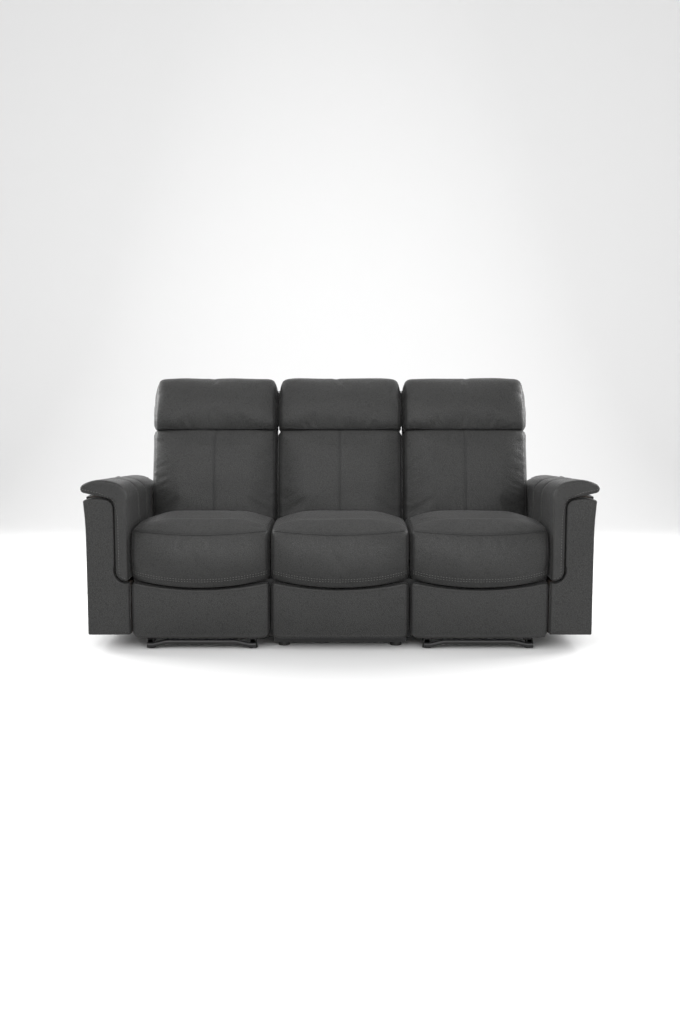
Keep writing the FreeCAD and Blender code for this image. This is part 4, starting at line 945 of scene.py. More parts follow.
@dataclass
class FrontPanel(SeatPart):
    """The padded panel under the seat: the footrest of a reclining seat, fixed on the centre one."""

    shape: SeatShape
    front_u: float = 0.036
    rear_u: float = 0.076
    strip_low: float = 0.215
    strip_top: float = 0.2765
    strip_thick: float = 0.0015
    strip_gap: float = 0.001
    strip_wing: float = 0.015
    strip_inset: float = 0.004
    filler_u: float = 0.097
    filler_x: tuple[float, float] = (0.245, 0.278)
    filler_z: tuple[float, float] = (0.200, 0.322)
    low_z: float = 0.046
    play: float = 0.008
    corner: float = 0.026
    edge: float = 0.012
    side_radius: float = 0.010
    seam_run: Spot = (0.040, 0.245)

    def outline(self, x: float) -> np.ndarray:
        """The panel's outline in u and z at a place across the sofa."""
        off = abs(x - self.middle)
        share = min(1.0, off / self.shape.half_width)
        rounding = corner_cut(off, self.shape.half_width, self.corner)
        front = self.front_u + 0.010 * share ** 8
        low = self.low_z + rounding * 0.9
        high = self.shape.hem_height(share) - self.play - rounding * 0.25
        return trace(
            (self.rear_u, low),
            ((front + self.edge, low), 4),
            ((front + self.edge * 0.3, low + self.edge * 0.3), (front + 0.003, low + self.edge), 4),
            ((front, (low + high) / 2), (front + 0.003, high - self.edge), 20),
            ((front + self.edge * 0.3, high - self.edge * 0.3), (front + self.edge, high), 4),
            ((self.rear_u, high), 4),
            ((self.rear_u, low), 12))

    def build(self, shop: Workshop) -> None:
        """Make the panel and its side seams."""
        node = "centre_front_pad" if self.side is Side.CENTRE else f"{self.side.value}_footrest_pad"
        rounding = self.side_radius
        shell = Shell.build(f"{node}_cover", self.shape.stations(self.middle, rounding), self.outline,
                            self.shape.set_down, puff=self.shape.side_puff)
        seam_x = self.shape.half_width - rounding * 0.36
        seed = 21.0 + self.side.sign * 5.3

        def relief(station: float, drawn: float, length: float) -> float:
            side = self.from_side(station, seam_x)
            across = station - self.middle
            height = groove(side, 0.0012, 0.003) + gather(side, length, seed, 0.012, 0.0006)
            return height + waviness(across, length, seed + 4, 0.0012) * min(1.0, side / 0.04)

        def seam(station: float, drawn: float, length: float) -> float:
            side = self.from_side(station, seam_x)
            return 0.5 * math.exp(-(side / 0.003) ** 2)

        shell.carve(shell.grid(relief), shell.grid(seam))
        shell.finish()
        body = self.side.body("footrest")
        shop.book(shell.piece, body, Slot.UPHOLSTERY, shop.palette.leather, [node])
        runs = np.linspace(*self.seam_run, 32)
        shop.seam(f"{node}_side_seams", shell.side_paths(self.middle, seam_x, runs, -0.0002), body,
                  radius=0.0009)
        self.strip(shop, node, body)

    def strip(self, shop: Workshop, node: str, body: str) -> None:
        """Close the slit over the panel with a black strip behind it, a dark sheet that is painted shade in the
        slit.

        The centre's strip is taller and reaches past the panel's sides, so that no light comes
        through between the panels. Two more black boards behind it do the same between the seats,
        as painted shade in those gaps.
        """
        fixed = self.side is Side.CENTRE
        reach = self.shape.half_width + (self.strip_wing if fixed else -self.strip_inset)
        front = self.rear_u + self.strip_gap + self.shape.front_y
        heights = (self.low_z if fixed else self.strip_low, self.strip_top)
        boards = [((self.middle - reach, self.middle + reach), front, heights)]
        if fixed:
            near, far = self.filler_x
            filler_y = self.filler_u + self.shape.front_y
            boards += [((self.middle - far, self.middle - near), filler_y, self.filler_z),
                       ((self.middle + near, self.middle + far), filler_y, self.filler_z)]
        points = np.array([(x, y, z) for across, start, upward in boards for x in across
                           for y in (start, start + self.strip_thick) for z in upward])
        sheet = ((0, 1, 3, 2), (4, 6, 7, 5), (0, 4, 5, 1), (2, 3, 7, 6), (0, 2, 6, 4), (1, 5, 7, 3))
        faces = [tuple(corner + 8 * number for corner in face)
                 for number in range(len(boards)) for face in sheet]
        shop.book(mesh_object(f"{node}_shade_strip", points, faces), body, Slot.PANEL, shop.palette.shade_board)


# The backs

@dataclass
class BackLean:
    """Where a back turns and how far it leans, so that n runs rearwards and w upwards in it."""

    hinge_y: float = 0.120
    hinge_z: float = 0.310
    lean: float = math.radians(13)

    def place(self, x: float, points: np.ndarray) -> np.ndarray:
        """Turn an outline in n and w into points of the sofa."""
        n, w = points[:, 0], points[:, 1]
        return np.column_stack([
            np.full(len(points), x),
            self.hinge_y + n * math.cos(self.lean) + w * math.sin(self.lean),
            self.hinge_z - n * math.sin(self.lean) + w * math.cos(self.lean)])


@dataclass
class BackShape:
    """Sizes that a back's two cushions share, in metres."""

    half_width: float = 0.2665
    front_n: float = -0.046
    rest_n: float = 0.082
    rear_n: float = 0.1672
    side_draw: float = 0.022
    tuck: float = 0.012
    seam_w: float = 0.523
    low_w: float = 0.095
    top_w: float = 0.765
    shelf_w: float = 0.702
    corner: float = 0.036
    rounding: float = 0.015
    step: float = 0.011
    side_puff: float = 0.0045

    @property
    def seam_x(self) -> float:
        """Distance of the side seams from the middle of the back."""
        return self.half_width - self.rounding * 0.36

    def front(self, share: float) -> float:
        """The front face's n at a share of the half width."""
        return self.front_n + self.side_draw * share ** 6


@dataclass
class LumbarCushion(SeatPart):
    """The tall lower back cushion with a vertical seam that kinks under the headrest."""

    shape: BackShape
    lean: BackLean
    kink: float = 0.012
    kink_height: float = 0.040
    base_steps: int = 8
    low_steps: int = 9
    face_steps: int = 34
    high_steps: int = 8

    def outline(self, x: float) -> np.ndarray:
        """The cushion's outline in n and w."""
        share = min(1.0, abs(x - self.middle) / self.shape.half_width)
        front, rear = self.shape.front(share), self.shape.rest_n
        low, high, tuck = self.shape.low_w, self.shape.seam_w - 0.001, self.shape.tuck
        return trace(
            (rear, low),
            ((front + 0.046, low), self.base_steps),
            ((front + 0.010, low + 0.014), (front, low + 0.060), self.low_steps),
            ((front - 0.009, (low + high) / 2), (front + 0.002, high - 0.050), self.face_steps),
            ((front + tuck * 0.3, high - 0.022), (front + tuck, high), self.high_steps),
            ((rear, high), 8),
            ((rear, low), 20))

    def seam_place(self, from_top: float) -> float:
        """The vertical seam's place across the sofa, at a length below the headrest seam."""
        near = max(0.0, 1 - from_top / self.kink_height)
        return self.middle - self.side.sign * self.kink * near ** 1.5

    def build(self, shop: Workshop) -> None:
        """Make the cushion and its seams."""
        name = f"{self.side.value}_lumbar_cushion"
        shape = self.shape
        stations = Shell.stations_of(self.middle - shape.half_width, self.middle + shape.half_width,
                                     shape.rounding, shape.step, [self.middle])
        shell = Shell.build(f"{name}_cover", stations, self.outline, self.lean.place, puff=shape.side_puff)
        first = self.base_steps
        last = self.base_steps + self.low_steps + self.face_steps + self.high_steps
        starts = shell.lengths_at(first)
        tops = shell.lengths_at(last)
        seed = 31.0 + self.side.sign * 9.1

        def free(station: float, drawn: float, length: float) -> float:
            start, top = starts[round(station, 6)], tops[round(station, 6)]
            if drawn >= shape.rounding * 0.9 or length <= start or length >= top:
                return 0.0
            side = self.from_side(station, shape.seam_x)
            near = min(side / 0.035, (top - length) / 0.03, (length - start) / 0.03, 1.0)
            return 0.0 if near < 0.05 else near * (0.3 if drawn > 0.004 else 1.0)

        def relief(station: float, drawn: float, length: float) -> float:
            start, top = starts[round(station, 6)], tops[round(station, 6)]
            if length < start - 0.04 or length > top + 0.01 or drawn > shape.rounding:
                return 0.0
            side = self.from_side(station, shape.seam_x)
            across = station - self.middle
            centre = station - self.seam_place(top - length)
            height = groove(side, 0.0022, 0.004) + groove(centre, 0.0022, 0.004)
            height += gather(side, length, seed, 0.028, 0.0024)
            fullness = 0.35 + 0.65 * abs(across) / 0.2
            height += gather(abs(top - length), across, seed + 5, 0.026, 0.0018) * fullness
            height += gather(abs(length - start - 0.06), across, seed + 8, 0.03, 0.0014)
            edge = min(1.0, side / 0.05)
            return height + waviness(across, length, seed + 9, 0.0030) * edge

        def seam(station: float, drawn: float, length: float) -> float:
            top = tops[round(station, 6)]
            side = self.from_side(station, shape.seam_x)
            near = min(side, abs(station - self.seam_place(top - length)), abs(length - top))
            return 0.6 * math.exp(-(near / 0.0025) ** 2)

        Stuffing(most=0.011).swell(shell.piece, shell.grid(free))
        shell.carve(shell.grid(relief), shell.grid(seam))
        shell.finish()
        body = self.side.body("back")
        shop.book(shell.piece, body, Slot.UPHOLSTERY, shop.palette.leather, [name])
        start, top = starts[round(self.middle, 6)], tops[round(self.middle, 6)]
        runs = np.linspace(top - 0.004, start + 0.012, 56)
        shop.seam(f"{name}_centre_seam", [[shell.point(self.seam_place(top - length), length, -0.0002)
                                           for length in runs]], body, radius=0.0017)
        shop.seam(f"{name}_side_seams", shell.side_paths(self.middle, shape.seam_x, runs, -0.0003), body,
                  radius=0.0013)


@dataclass
class Headrest(SeatPart):
    """The pillow of the back, full over the seam and rolled over the top."""

    shape: BackShape
    lean: BackLean
    base_steps: int = 8
    fold_steps: int = 7
    face_steps: int = 16
    brow_steps: int = 12
    top_steps: int = 12

    def outline(self, x: float) -> np.ndarray:
        """The headrest's outline in n and w."""
        shape = self.shape
        off = abs(x - self.middle)
        share = min(1.0, off / shape.half_width)
        front, tuck = shape.front(share), shape.tuck
        top = max(shape.top_w - corner_cut(off, shape.half_width, shape.corner), shape.shelf_w + 0.024)
        low = shape.seam_w
        return trace(
            (shape.rest_n, low),
            ((front + tuck, low), self.base_steps),
            ((front + tuck * 0.1, low + 0.018), (front - 0.006, low + 0.050), self.fold_steps),
            ((front - 0.004, low + 0.098), (front + 0.014, top - 0.077), self.face_steps),
            ((front + 0.040, top - 0.022), (front + 0.095, top - 0.001), self.brow_steps),
            ((front + 0.160, top - 0.004), (shape.rear_n, shape.shelf_w + 0.014), self.top_steps),
            ((shape.rear_n, shape.shelf_w), 2),
            ((shape.rest_n, shape.shelf_w), 8),
            ((shape.rest_n, low), 16))

    def build(self, shop: Workshop) -> None:
        """Make the headrest and its seams."""
        name = f"{self.side.value}_headrest"
        shape = self.shape
        stations = Shell.stations_of(self.middle - shape.half_width, self.middle + shape.half_width,
                                     shape.rounding, shape.step, [self.middle])
        shell = Shell.build(f"{name}_cover", stations, self.outline, self.lean.place, puff=shape.side_puff)
        first = self.base_steps
        last = first + self.fold_steps + self.face_steps + self.brow_steps + self.top_steps
        starts = shell.lengths_at(first)
        ends = shell.lengths_at(last)
        seed = 51.0 + self.side.sign * 6.7

        def free(station: float, drawn: float, length: float) -> float:
            start, end = starts[round(station, 6)], ends[round(station, 6)]
            if drawn >= shape.rounding * 0.9 or length <= start or length >= end:
                return 0.0
            side = self.from_side(station, shape.seam_x)
            near = min(side / 0.035, (length - start) / 0.025, (end - length) / 0.03, 1.0)
            return 0.0 if near < 0.05 else near * (0.3 if drawn > 0.004 else 1.0)

        def relief(station: float, drawn: float, length: float) -> float:
            start, end = starts[round(station, 6)], ends[round(station, 6)]
            if length < start or length > end + 0.005 or drawn > shape.rounding:
                return 0.0
            side = self.from_side(station, shape.seam_x)
            across = station - self.middle
            height = groove(side, 0.0025, 0.005)
            height += gather(side, length, seed, 0.026, 0.0026)
            fullness = 0.3 + 0.7 * abs(across) / 0.2
            height += gather(length - start, across, seed + 5, 0.018, 0.0016) * fullness
            edge = min(1.0, side / 0.05)
            return height + waviness(across, length, seed + 9, 0.0034) * edge

        def seam(station: float, drawn: float, length: float) -> float:
            side = self.from_side(station, shape.seam_x)
            near = min(side, abs(length - starts[round(station, 6)]))
            return 0.6 * math.exp(-(near / 0.0025) ** 2)

        Stuffing(most=0.012).swell(shell.piece, shell.grid(free))
        shell.carve(shell.grid(relief), shell.grid(seam))
        shell.finish()
        body = self.side.body("back")
        shop.book(shell.piece, body, Slot.UPHOLSTERY, shop.palette.leather, [name])
        start, end = starts[round(self.middle, 6)], ends[round(self.middle, 6)]
        runs = np.linspace(start + 0.004, end - 0.006, 60)
        shop.seam(f"{name}_side_seams", shell.side_paths(self.middle, shape.seam_x, runs, -0.0003), body,
                  radius=0.0013)
        spots = np.linspace(self.middle - shape.seam_x, self.middle + shape.seam_x, 60)
        shop.seam(f"{name}_lower_seam", [[shell.point(x, start + 0.002, 0.0) for x in spots]], body)


@dataclass
class RearCover(SeatPart):
    """The flat padded cover of a back, with a topstitch inside its edge."""

    lean: BackLean
    half_width: float = 0.262
    front_n: float = 0.1672
    rear_n: float = 0.1912
    low_w: float = -0.100
    top_w: float = 0.735
    corner: float = 0.008
    stitch_inset: float = 0.022
    lower_edge: float = 0.020

    def outline(self, x: float) -> np.ndarray:
        """The cover's outline in n and w."""
        turn = self.corner * (1 - math.sqrt(0.5))
        low, top, rear, corner = self.low_w, self.top_w, self.rear_n, self.corner
        return trace(
            (self.front_n, low),
            ((rear - corner, low), 3),
            ((rear - turn, low + turn), (rear, low + corner), 4),
            ((rear, top - corner), 80),
            ((rear - turn, top - turn), (rear - corner, top), 4),
            ((self.front_n, top), 3),
            ((self.front_n, low), 40))

    def build(self, shop: Workshop) -> None:
        """Make the cover, slightly crowned between its edges, and its topstitch."""
        name = f"{self.side.value}_back_cover"
        stations = Shell.stations_of(self.middle - self.half_width, self.middle + self.half_width, 0.008, 0.010)
        shell = Shell.build(f"{name}_leather", stations, self.outline, self.lean.place, cap_steps=(0.001, 0.002))
        seed = 71.0 + self.side.sign * 4.9
        height_w = self.top_w - self.low_w

        def relief(station: float, drawn: float, length: float) -> float:
            along = (length - self.lower_edge) / height_w
            if not 0 < along < 1 or drawn > 0:
                return 0.0
            across = station - self.middle
            edge = min(self.half_width - abs(across), along * height_w, (1 - along) * height_w)
            puff = 0.0016 * min(1.0, edge / 0.04)
            furrow = groove(edge - self.stitch_inset, 0.0014, 0.004)
            return puff + furrow + waviness(across, length, seed, 0.0010) * min(1, edge / 0.05)

        shell.carve(shell.grid(relief))
        shell.finish()
        body = self.side.body("back")
        shop.book(shell.piece, body, Slot.PANEL, shop.palette.board_leather, [name])
        reach = self.half_width - self.stitch_inset
        low = self.lower_edge + self.stitch_inset
        high = self.lower_edge + height_w - self.stitch_inset
        across = np.linspace(self.middle - reach, self.middle + reach, 50)
        upward = np.linspace(low, high, 70)
        ring = [shell.point(x, low, 0.0003) for x in across]
        ring += [shell.point(self.middle + reach, length, 0.0003) for length in upward[1:]]
        ring += [shell.point(x, high, 0.0003) for x in across[::-1][1:]]
        ring += [shell.point(self.middle - reach, length, 0.0003) for length in upward[::-1][1:]]
        shop.stitch(f"{name}_topstitch", [ring], body, Slot.PANEL)


@dataclass
class BackSides(SeatPart):
    """The leather drawn over a back's sides, between its cushions and its rear cover."""

    lean: BackLean
    gap: float = 0.0003
    outer_x: float = 0.2664
    edge: float = 0.0016
    front_n: float = 0.0835
    rear_n: float = 0.1665
    low_w: float = -0.095
    top_w: float = 0.698

    def outline(self, x: float) -> np.ndarray:
        """The side's outline in n and w, the same at each place."""
        return trace(
            (self.front_n, self.low_w),
            ((self.rear_n, self.low_w), 6),
            ((self.rear_n, self.top_w), 50),
            ((self.front_n, self.top_w), 6),
            ((self.front_n, self.low_w), 50))

    def build(self, shop: Workshop) -> None:
        """Make both sides, on the outer faces of the back's frame."""
        low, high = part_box(f"{self.side.value}_back_frame")
        inner_x = (high[0] - low[0]) / 2 + self.gap
        outer_x = max(self.outer_x, inner_x + 2 * self.edge)
        for hand, sign in (("left", -1), ("right", 1)):
            ends = sorted((self.middle + sign * inner_x, self.middle + sign * outer_x))
            stations = Shell.stations_of(ends[0], ends[1], self.edge, 0.010)
            shell = Shell.build(f"{self.side.value}_back_side_{hand}", stations, self.outline, self.lean.place,
                                cap_steps=(0.002, 0.005))
            shell.carve(np.zeros(len(shell.piece.data.vertices)))
            shell.finish()
            shop.book(shell.piece, self.side.body("back"), Slot.PANEL, shop.palette.board_leather)


# The arms

@dataclass
class ArmShape:
    """Sizes of an arm, in metres; x is the distance from the sofa's middle."""

    inner_x: float = 0.820
    core_x: float = 0.870
    outer_x: float = 0.985
    flare: float = 0.008
    bottom_z: float = 0.060
    drape_z: float = 0.275
    drape_radius: float = 0.040
    core_top_z: float = 0.600
    front_u: float = 0.038
    post_thick: float = 0.038
    front_y: float = -0.470

    def placer(self, sign: int) -> Place:
        """The function that turns an outline in x and z into points of one arm."""
        def set_down(u: float, points: np.ndarray) -> np.ndarray:
            return np.column_stack([points[:, 0] * sign, np.full(len(points), u + self.front_y), points[:, 1]])
        return set_down


@dataclass
class ArmPad:
    """The long pad that rolls over the arm and hangs down its inner side, in three stuffed lengths."""

    sign: int
    shape: ArmShape
    front_u: float = 0.024
    rear_u: float = 0.840
    first_seam: float = 0.300
    second_seam: float = 0.500
    top_z: float = 0.669
    tip_x: float = 1.000
    tip_z: float = 0.637
    rear_drop: float = 0.056
    level_u: float = 0.060
    seam_tuck: float = 0.010
    edge_radius: float = 0.012
    border_spots: tuple[Spot, ...] = ((0.988, 0.634), (0.928, 0.621), (0.879, 0.583), (0.856, 0.513),
                                      (0.855, 0.312), (0.850, 0.293), (0.834, 0.286))
    border_gap: float = 0.004
    inner_start: int = 6
    outer_end: int = 76

    def drop(self, u: float) -> float:
        """How far the pad's top has fallen at a depth."""
        share = max(0.0, (u - self.level_u) / (self.rear_u - self.level_u))
        return self.rear_drop * share + 0.004 * max(0.0, (u - self.rear_u + 0.05) / 0.05) ** 2

    def puff(self, u: float) -> float:
        """1 at the fullest place of each length and 0 in a seam."""
        near = min(abs(u - self.first_seam), abs(u - self.second_seam))
        return 1 - math.exp(-near / 0.018)

    def outline(self, u: float) -> np.ndarray:
        """The pad's outline in x and z at a depth."""
        arm = self.shape
        core, inner, shelf = arm.core_x, arm.inner_x, arm.core_top_z
        tuck = self.seam_tuck * (1 - self.puff(u))
        drop = self.drop(u)
        top = self.top_z - drop - tuck
        tip_x, tip_z = self.tip_x - tuck * 0.8, self.tip_z - drop * 0.5
        foot, turn = arm.drape_z, arm.drape_radius
        diagonal = turn * (1 - math.sqrt(0.5))
        over_post = u < arm.front_u + arm.post_thick - 0.0005
        corner = ((core + 0.006, shelf - 0.010), (core, shelf - 0.034), 5) if over_post else \
            ((core + 0.0005, shelf - 0.0005), (core, shelf - 0.001), 5)
        return trace(
            (core, foot + turn),
            ((core - diagonal, foot + diagonal), (core - turn, foot), 6),
            ((inner + 0.003, foot + 0.003), (inner, foot + 0.010), 4),
            ((inner, shelf - 0.020), 34),
            ((inner + 0.016, top - 0.026), (core + 0.006, top - 0.005), 10),
            ((core + 0.062, top), (tip_x - 0.013, top - 0.015), 14),
            ((tip_x, tip_z), (tip_x - 0.009, tip_z - 0.017), 8),
            ((core + 0.030, shelf), 11),
            corner,
            ((core, foot + turn), 30))

    def build(self, shop: Workshop) -> None:
        """Make the pad, its cross seams and the stitched border along its front edge."""
        side = "right" if self.sign > 0 else "left"
        name = f"{side}_arm_pad"
        frame_u = self.shape.front_u + self.shape.post_thick
        stations = Shell.stations_of(self.front_u, self.rear_u, self.edge_radius, 0.010,
                                     [frame_u - 0.001, frame_u, self.first_seam, self.second_seam])
        shell = Shell.build(f"{name}_cover", stations, self.outline, self.shape.placer(self.sign),
                            cap_steps=(0.002, 0.005))
        starts = shell.lengths_at(self.inner_start)
        ends = shell.lengths_at(self.outer_end)
        seed = 91.0

        def seam_distance(u: float) -> float:
            return min(abs(u - self.first_seam), abs(u - self.second_seam))

        def free(station: float, drawn: float, length: float) -> float:
            start, end = starts[round(station, 6)], ends[round(station, 6)]
            if drawn > 0.006 or not start < length < end:
                return 0.0
            near = min(seam_distance(station) / 0.03, (length - start) / 0.05, (end - length) / 0.03,
                       (station - self.front_u) / 0.03, (self.rear_u - station) / 0.4, 1.0)
            low = 0.25 if length < start + 0.30 else 1.0
            return 0.0 if near < 0.05 else near * low

        def relief(station: float, drawn: float, length: float) -> float:
            start, end = starts[round(station, 6)], ends[round(station, 6)]
            if not start - 0.01 < length < end + 0.02:
                return 0.0
            near = seam_distance(station)
            calm = 0.25 if length < start + 0.26 else 1.0
            height = gather(near, length, seed + (station > 0.4) * 3, 0.020, 0.0020) * calm
            height += groove(near, 0.002, 0.004)
            return height + waviness(station, length, seed + 9, 0.0022) * calm

        def seam(station: float, drawn: float, length: float) -> float:
            return 0.6 * math.exp(-(seam_distance(station) / 0.004) ** 2)

        Stuffing(most=0.005).swell(shell.piece, shell.grid(free))
        shell.carve(shell.grid(relief), shell.grid(seam))
        shell.finish()
        shop.book(shell.piece, "root", Slot.UPHOLSTERY, shop.palette.leather, [name])

        def across(u: float, lift: float) -> list[Vector]:
            row = round(float(min(shell.stations, key=lambda s: abs(s - u))), 6)
            return [shell.point(u, length, lift) for length in np.linspace(starts[row] + 0.05, ends[row], 80)]

        shop.seam(f"{name}_cross_seams", [across(self.first_seam, -0.0002), across(self.second_seam, -0.0002)],
                  "root")
        shop.stitch(f"{name}_cross_stitches", [across(u, 0.0003) for u in (
            self.first_seam - 0.007, self.first_seam + 0.007,
            self.second_seam - 0.007, self.second_seam + 0.007)], "root")
        self.border(shop, shell, name)

    def border(self, shop: Workshop, shell: Shell, name: str) -> None:
        """Lay the border's seam and topstitch: they follow the pad's lower contour on its front face."""
        start, bend, turn, down, low, foot, end = self.border_spots
        flat = [start, *line_points(start, bend, 14), *arc_points(bend, turn, down, 24),
                *line_points(down, low, 40), *arc_points(low, foot, end, 10)]
        ahead_y = self.front_u + self.shape.front_y - 0.004
        path = [shell.piece.closest_point_on_mesh(Vector((x * self.sign, ahead_y, z)))[1] for x, z in flat]
        shop.stitch(f"{name}_border_topstitch", [[spot + Vector((0, -0.0004, 0)) for spot in path]], "root")
        shop.seam(f"{name}_border_seam", [self._shift(path, -self.border_gap)], "root", radius=0.0008)

    def _shift(self, path: Sequence[Vector], distance: float) -> list[Vector]:
        """The same line moved on the front face, inwards where the distance is positive."""
        flat = np.array([[spot.x, spot.z] for spot in path])
        ahead = np.gradient(flat, axis=0)
        ahead /= np.linalg.norm(ahead, axis=1)[:, None]
        normals = np.column_stack([ahead[:, 1], -ahead[:, 0]]) * self.sign
        return [Vector((x, spot.y, z)) for (x, z), spot in zip(flat + normals * distance, path)]


@dataclass
class ArmPost:
    """The stuffed front pillar: wide at the foot, narrow above and flared at the top."""

    sign: int
    shape: ArmShape
    edge_radius: float = 0.009
    depth_steps: int = 4
    flare_height: float = 0.190
    seam_run: Spot = (0.185, 0.675)

    def outline(self, u: float) -> np.ndarray:
        """The post's outline in x and z."""
        arm = self.shape
        inner, core, outer, flare = arm.inner_x, arm.core_x, arm.outer_x, arm.flare
        base, top = arm.bottom_z, arm.core_top_z
        ledge = arm.drape_z - 0.008
        return trace(
            (inner, base),
            ((outer, base), 20),
            ((outer, top - self.flare_height), 36),
            ((outer + flare * 0.2, top - 0.100), (outer + flare, top - 0.012), 22),
            ((outer - 0.020, top - 0.003), (core + 0.042, top - 0.004), 12),
            ((core + 0.016, top - 0.014), (core + 0.003, top - 0.040), 6),
            ((core + 0.003, arm.drape_z + 0.060), 30),
            ((core - 0.008, ledge + 0.012), (core - 0.030, ledge), 8),
            ((inner, ledge), 3),
            ((inner, base), 24))

    def build(self, shop: Workshop) -> None:
        """Make the post, with a soft front edge and a fine seam along its outer side."""
        side = "right" if self.sign > 0 else "left"
        name = f"{side}_arm_post"
        front, rear = self.shape.front_u, self.shape.front_u + self.shape.post_thick
        turns = [math.radians(angle) for angle in (90, 75, 60, 45, 30, 15)]
        radius = self.edge_radius
        stations = [(front + radius - radius * math.sin(turn), radius * (1 - math.cos(turn))) for turn in turns]
        stations += [(front + radius + (rear - front - radius) * step / self.depth_steps, 0.0)
                     for step in range(self.depth_steps + 1)]
        shell = Shell.build(f"{name}_cover", stations, self.outline, self.shape.placer(self.sign),
                            cap_steps=(0.004, 0.009))
        seed = 111.0

        def relief(station: float, drawn: float, length: float) -> float:
            if station > rear - 0.002:
                return 0.0
            return waviness(length, station, seed, 0.0008) + gather(drawn, length, seed + 3, 0.010, 0.0005)

        shell.carve(shell.grid(relief))
        shell.finish()
        shop.book(shell.piece, "root", Slot.POST, shop.palette.board_leather, [name])
        runs = np.linspace(*self.seam_run, 60)
        shop.seam(f"{name}_edge_seam", [[shell.point(front + radius + 0.004, length, -0.0001) for length in runs]],
                  "root", Slot.POST, radius=0.0008)


@dataclass
class ArmSides:
    """The covered outer boards of both arms: the CAD boards, with a topstitch along their edges."""

    shape: ArmShape
    inset: float = 0.014

    def build(self, shop: Workshop) -> None:
        """Stitch each outer side along its front, top and rear edges."""
        low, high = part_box("arm_outer_panels")
        front = self.shape.front_y + self.shape.front_u + self.shape.post_thick
        top = self.shape.core_top_z
        for side, sign in (("left", -1), ("right", 1)):
            x = sign * (self.shape.outer_x + 0.0003)
            corners = [(front + self.inset, low[2] + self.inset), (front + self.inset, top - self.inset),
                       (high[1] - self.inset, top - self.inset), (high[1] - self.inset, low[2] + self.inset)]
            path: list[Vector] = []
            for start, end in zip(corners, corners[1:]):
                path += [Vector((x, y, z)) for y, z in line_points(start, end, 40)]
            shop.stitch(f"{side}_arm_side_topstitch", [path], "root", Slot.PANEL)


# Steel, boards and fittings

@dataclass
class Mechanism:
    """Rivet heads of the swing links, the back hinges and the footrest linkage."""

    layer: float = 0.004
    plate: float = 0.003
    side_plate_x: float = 0.237
    head_radius: float = 0.0085
    head_height: float = 0.0022

    def joint(self, name: str) -> Vector:
        """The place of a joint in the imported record."""
        found = [item for item in frame["record"]["behaviour"]["joints"] if item["name"] == name]
        return Vector(found[0]["pos_m"])

    def build(self, shop: Workshop) -> None:
        """Set the heads of each body, mirrored about its seat's middle."""
        outer = self.side_plate_x + self.layer + self.plate
        drive_outer = self.side_plate_x - 2 * self.layer + self.plate
        guide_inner = self.side_plate_x - 4 * self.layer
        upright_outer = self.side_plate_x + 2 * self.layer + self.plate
        for side in (Side.LEFT, Side.RIGHT):
            at = {part: self.joint(f"{side.value}_{part}") for part in (
                "recline", "rear_swing_turn", "seat_glide", "back_tilt", "guide_link_turn", "footrest_turn")}
            rise = at["seat_glide"] - at["recline"]
            second = at["guide_link_turn"]
            bracket_high = at["footrest_turn"] + (second - self.joint(f"{side.value}_drive_link_turn"))
            heads = {
                "seat": [(spot, outer) for spot in (at["seat_glide"], at["rear_swing_turn"] + rise,
                                                    at["back_tilt"])],
                "front_link": [(second, guide_inner)],
                "footrest": [(at["footrest_turn"], drive_outer), (bracket_high, guide_inner)],
                "root": [(at["recline"], upright_outer), (at["rear_swing_turn"], upright_outer)]}
            for part, spots in heads.items():
                points = [Vector((spot.x + hand * x, spot.y, spot.z))
                          for spot, x in spots for hand in (-1, 1)]
                mesh = bpy.data.meshes.new("rivet_points")
                mesh.from_pydata(points, [], [])
                seeds = scene_object(f"{side.value}_{part}_rivet_heads", mesh)
                made = grow(seeds, shop.trees.rivets, {"Radius": self.head_radius, "Height": self.head_height,
                                                       "Material": shop.palette.steel})
                shop.book(made, "root" if part == "root" else side.body(part), Slot.STEEL)


@dataclass(frozen=True)
class HardParts:
    """The CAD nodes that stay: each gets its finish, and sawn or pressed edges are broken."""

    board_edge: float = 0.0015
    covered_edge: float = 0.003
    moulded_edge: float = 0.0012
    smooth_below: float = math.radians(50)

    def build(self, shop: Workshop) -> None:
        """Assign the finishes by the record's slots."""
        palette = shop.palette
        finishes = {"frame_wood": palette.wood, "spring_steel": palette.wire, "black_steel": palette.steel,
                    "black_plastic": palette.plastic, "panel_leather": palette.board_leather,
                    "post_leather": palette.board_leather, "upholstery_leather": palette.leather}
        edges = {"frame_wood": self.board_edge, "panel_leather": self.covered_edge}
        for entry in frame["record"]["subparts"]:
            node = frame["nodes"][entry["node"]]
            node.data.materials.clear()
            node.data.materials.append(finishes[entry["material_slot"]])
            if node.hide_render:
                continue
            width = edges.get(entry["material_slot"])
            if "release_handle" in entry["node"]:
                width = self.moulded_edge
            if width:
                weld = node.modifiers.new("Weld", "WELD")
                weld.merge_threshold = 1e-6
                bevel = node.modifiers.new("Edges", "BEVEL")
                bevel.width = width
                bevel.segments = 2
                bevel.angle_limit = self.smooth_below
            LOG.info("%s keeps its CAD shape", entry["node"])


# The picture

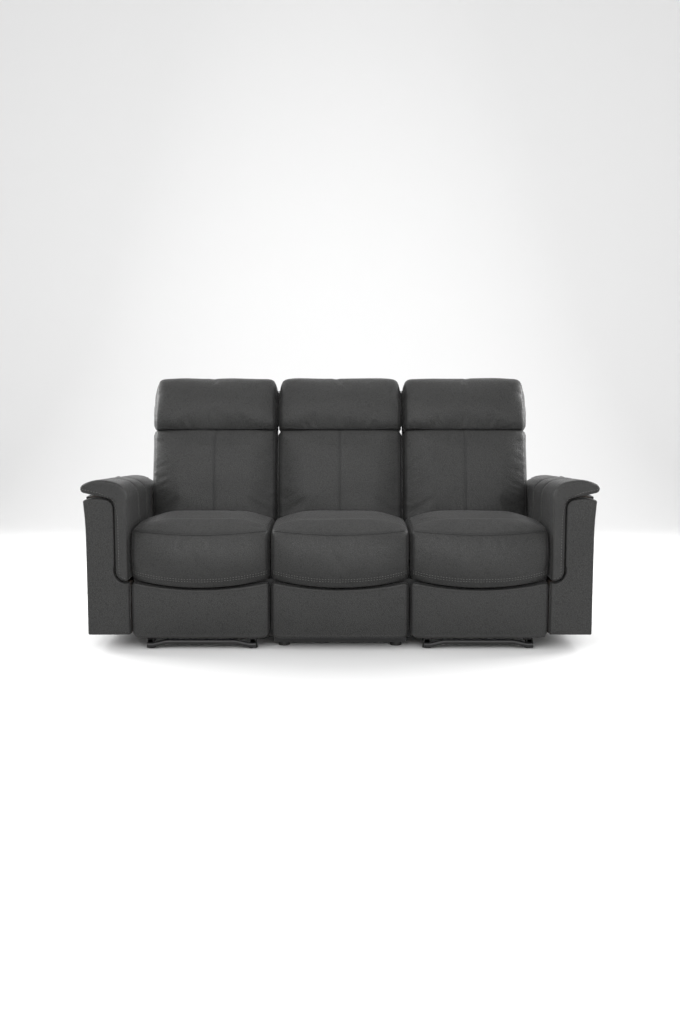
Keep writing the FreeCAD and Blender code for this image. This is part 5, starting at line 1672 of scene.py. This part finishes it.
@dataclass(frozen=True)
class Studio:
    """A pale paper sweep, soft lights and the camera of the photograph."""

    floor_reach: float = 9.0
    sweep_start: float = 3.0
    sweep_radius: float = 1.6
    sweep_steps: int = 16
    wall_height: float = 6.0
    camera_y: float = -4.970
    camera_z: float = 1.120
    pitch: float = math.radians(7.216)
    focal: float = 41.69
    sensor: float = 36.0

    def backdrop(self, shop: Workshop) -> None:
        """A floor that curves up into a wall."""
        rows = [(-self.floor_reach, 0.0), (self.sweep_start, 0.0)]
        rows += [(self.sweep_start + self.sweep_radius * math.sin(turn),
                  self.sweep_radius * (1 - math.cos(turn)))
                 for turn in [math.pi / 2 * step / self.sweep_steps for step in range(1, self.sweep_steps + 1)]]
        rows.append((self.sweep_start + self.sweep_radius, self.wall_height))
        points = np.array([(x, y, z) for y, z in rows for x in (-self.floor_reach, self.floor_reach)])
        faces = [(2 * row, 2 * row + 1, 2 * row + 3, 2 * row + 2) for row in range(len(rows) - 1)]
        sweep = mesh_object("studio_sweep", points, faces)
        if sweep.data.polygons[0].normal.z < 0:
            sweep.data.flip_normals()
        sweep.data.shade_smooth()
        sweep.data.materials.append(shop.palette.paper)

    @staticmethod
    def light(name: str, place: Sequence[float], target: Sequence[float], size: float, watts: float) -> None:
        """Add one soft square light."""
        lamp = bpy.data.lights.new(name, "AREA")
        lamp.size = size
        lamp.energy = watts
        holder = scene_object(name, lamp)
        holder.location = place
        holder.rotation_euler = (Vector(target) - Vector(place)).to_track_quat("-Z", "Y").to_euler()

    def build(self, shop: Workshop) -> None:
        """Set the sweep, the lights, the sky and the camera."""
        self.backdrop(shop)
        for settings in (("key", (-1.3, -4.2, 2.6), (0.0, 0.0, 0.5), 2.4, 90),
                         ("fill", (1.6, -4.6, 1.5), (0.0, 0.0, 0.4), 2.4, 60),
                         ("left_rim", (-3.0, 0.9, 1.6), (-0.6, 0.2, 0.8), 1.6, 110),
                         ("right_rim", (3.0, 0.9, 1.6), (0.6, 0.2, 0.8), 1.6, 110),
                         ("top", (0.0, -0.6, 4.2), (0.0, 0.0, 0.5), 2.4, 25)):
            self.light(*settings)
        world = bpy.data.worlds.new("Soft white sky")
        world.use_nodes = True
        backdrop = world.node_tree.nodes["Background"]
        backdrop.inputs["Color"].default_value = linear("#f7f7f7")
        backdrop.inputs["Strength"].default_value = 0.9
        scene = bpy.context.scene
        scene.world = world
        scene.view_settings.view_transform = "Standard"
        view = bpy.data.cameras.new("photograph_view")
        view.lens = self.focal
        view.sensor_width = self.sensor
        camera = scene_object("photograph_view", view)
        camera.location = (0.0, self.camera_y, self.camera_z)
        camera.rotation_euler = (math.pi / 2 - self.pitch, 0.0, 0.0)
        scene.camera = camera


def main() -> None:
    """Build every sub-assembly and the studio."""
    logging.basicConfig(level=logging.INFO, format="%(relativeCreated)7.0f ms %(name)s: %(message)s")
    shop = Workshop()
    seat_shape, back_shape, lean, arm = SeatShape(), BackShape(), BackLean(), ArmShape()
    for side in Side:
        low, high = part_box(f"{side.value}_seat_cushion")
        middle = (low[0] + high[0]) / 2
        for assembly in (SeatCushion(side, middle, seat_shape), FrontPanel(side, middle, seat_shape),
                         LumbarCushion(side, middle, back_shape, lean),
                         Headrest(side, middle, back_shape, lean),
                         RearCover(side, middle, lean), BackSides(side, middle, lean)):
            assembly.build(shop)
    for sign in (-1, 1):
        ArmPost(sign, arm).build(shop)
        ArmPad(sign, arm).build(shop)
    ArmSides(arm).build(shop)
    Mechanism().build(shop)
    HardParts().build(shop)
    Studio().build(shop)


if __name__ == "__main__":
    main()
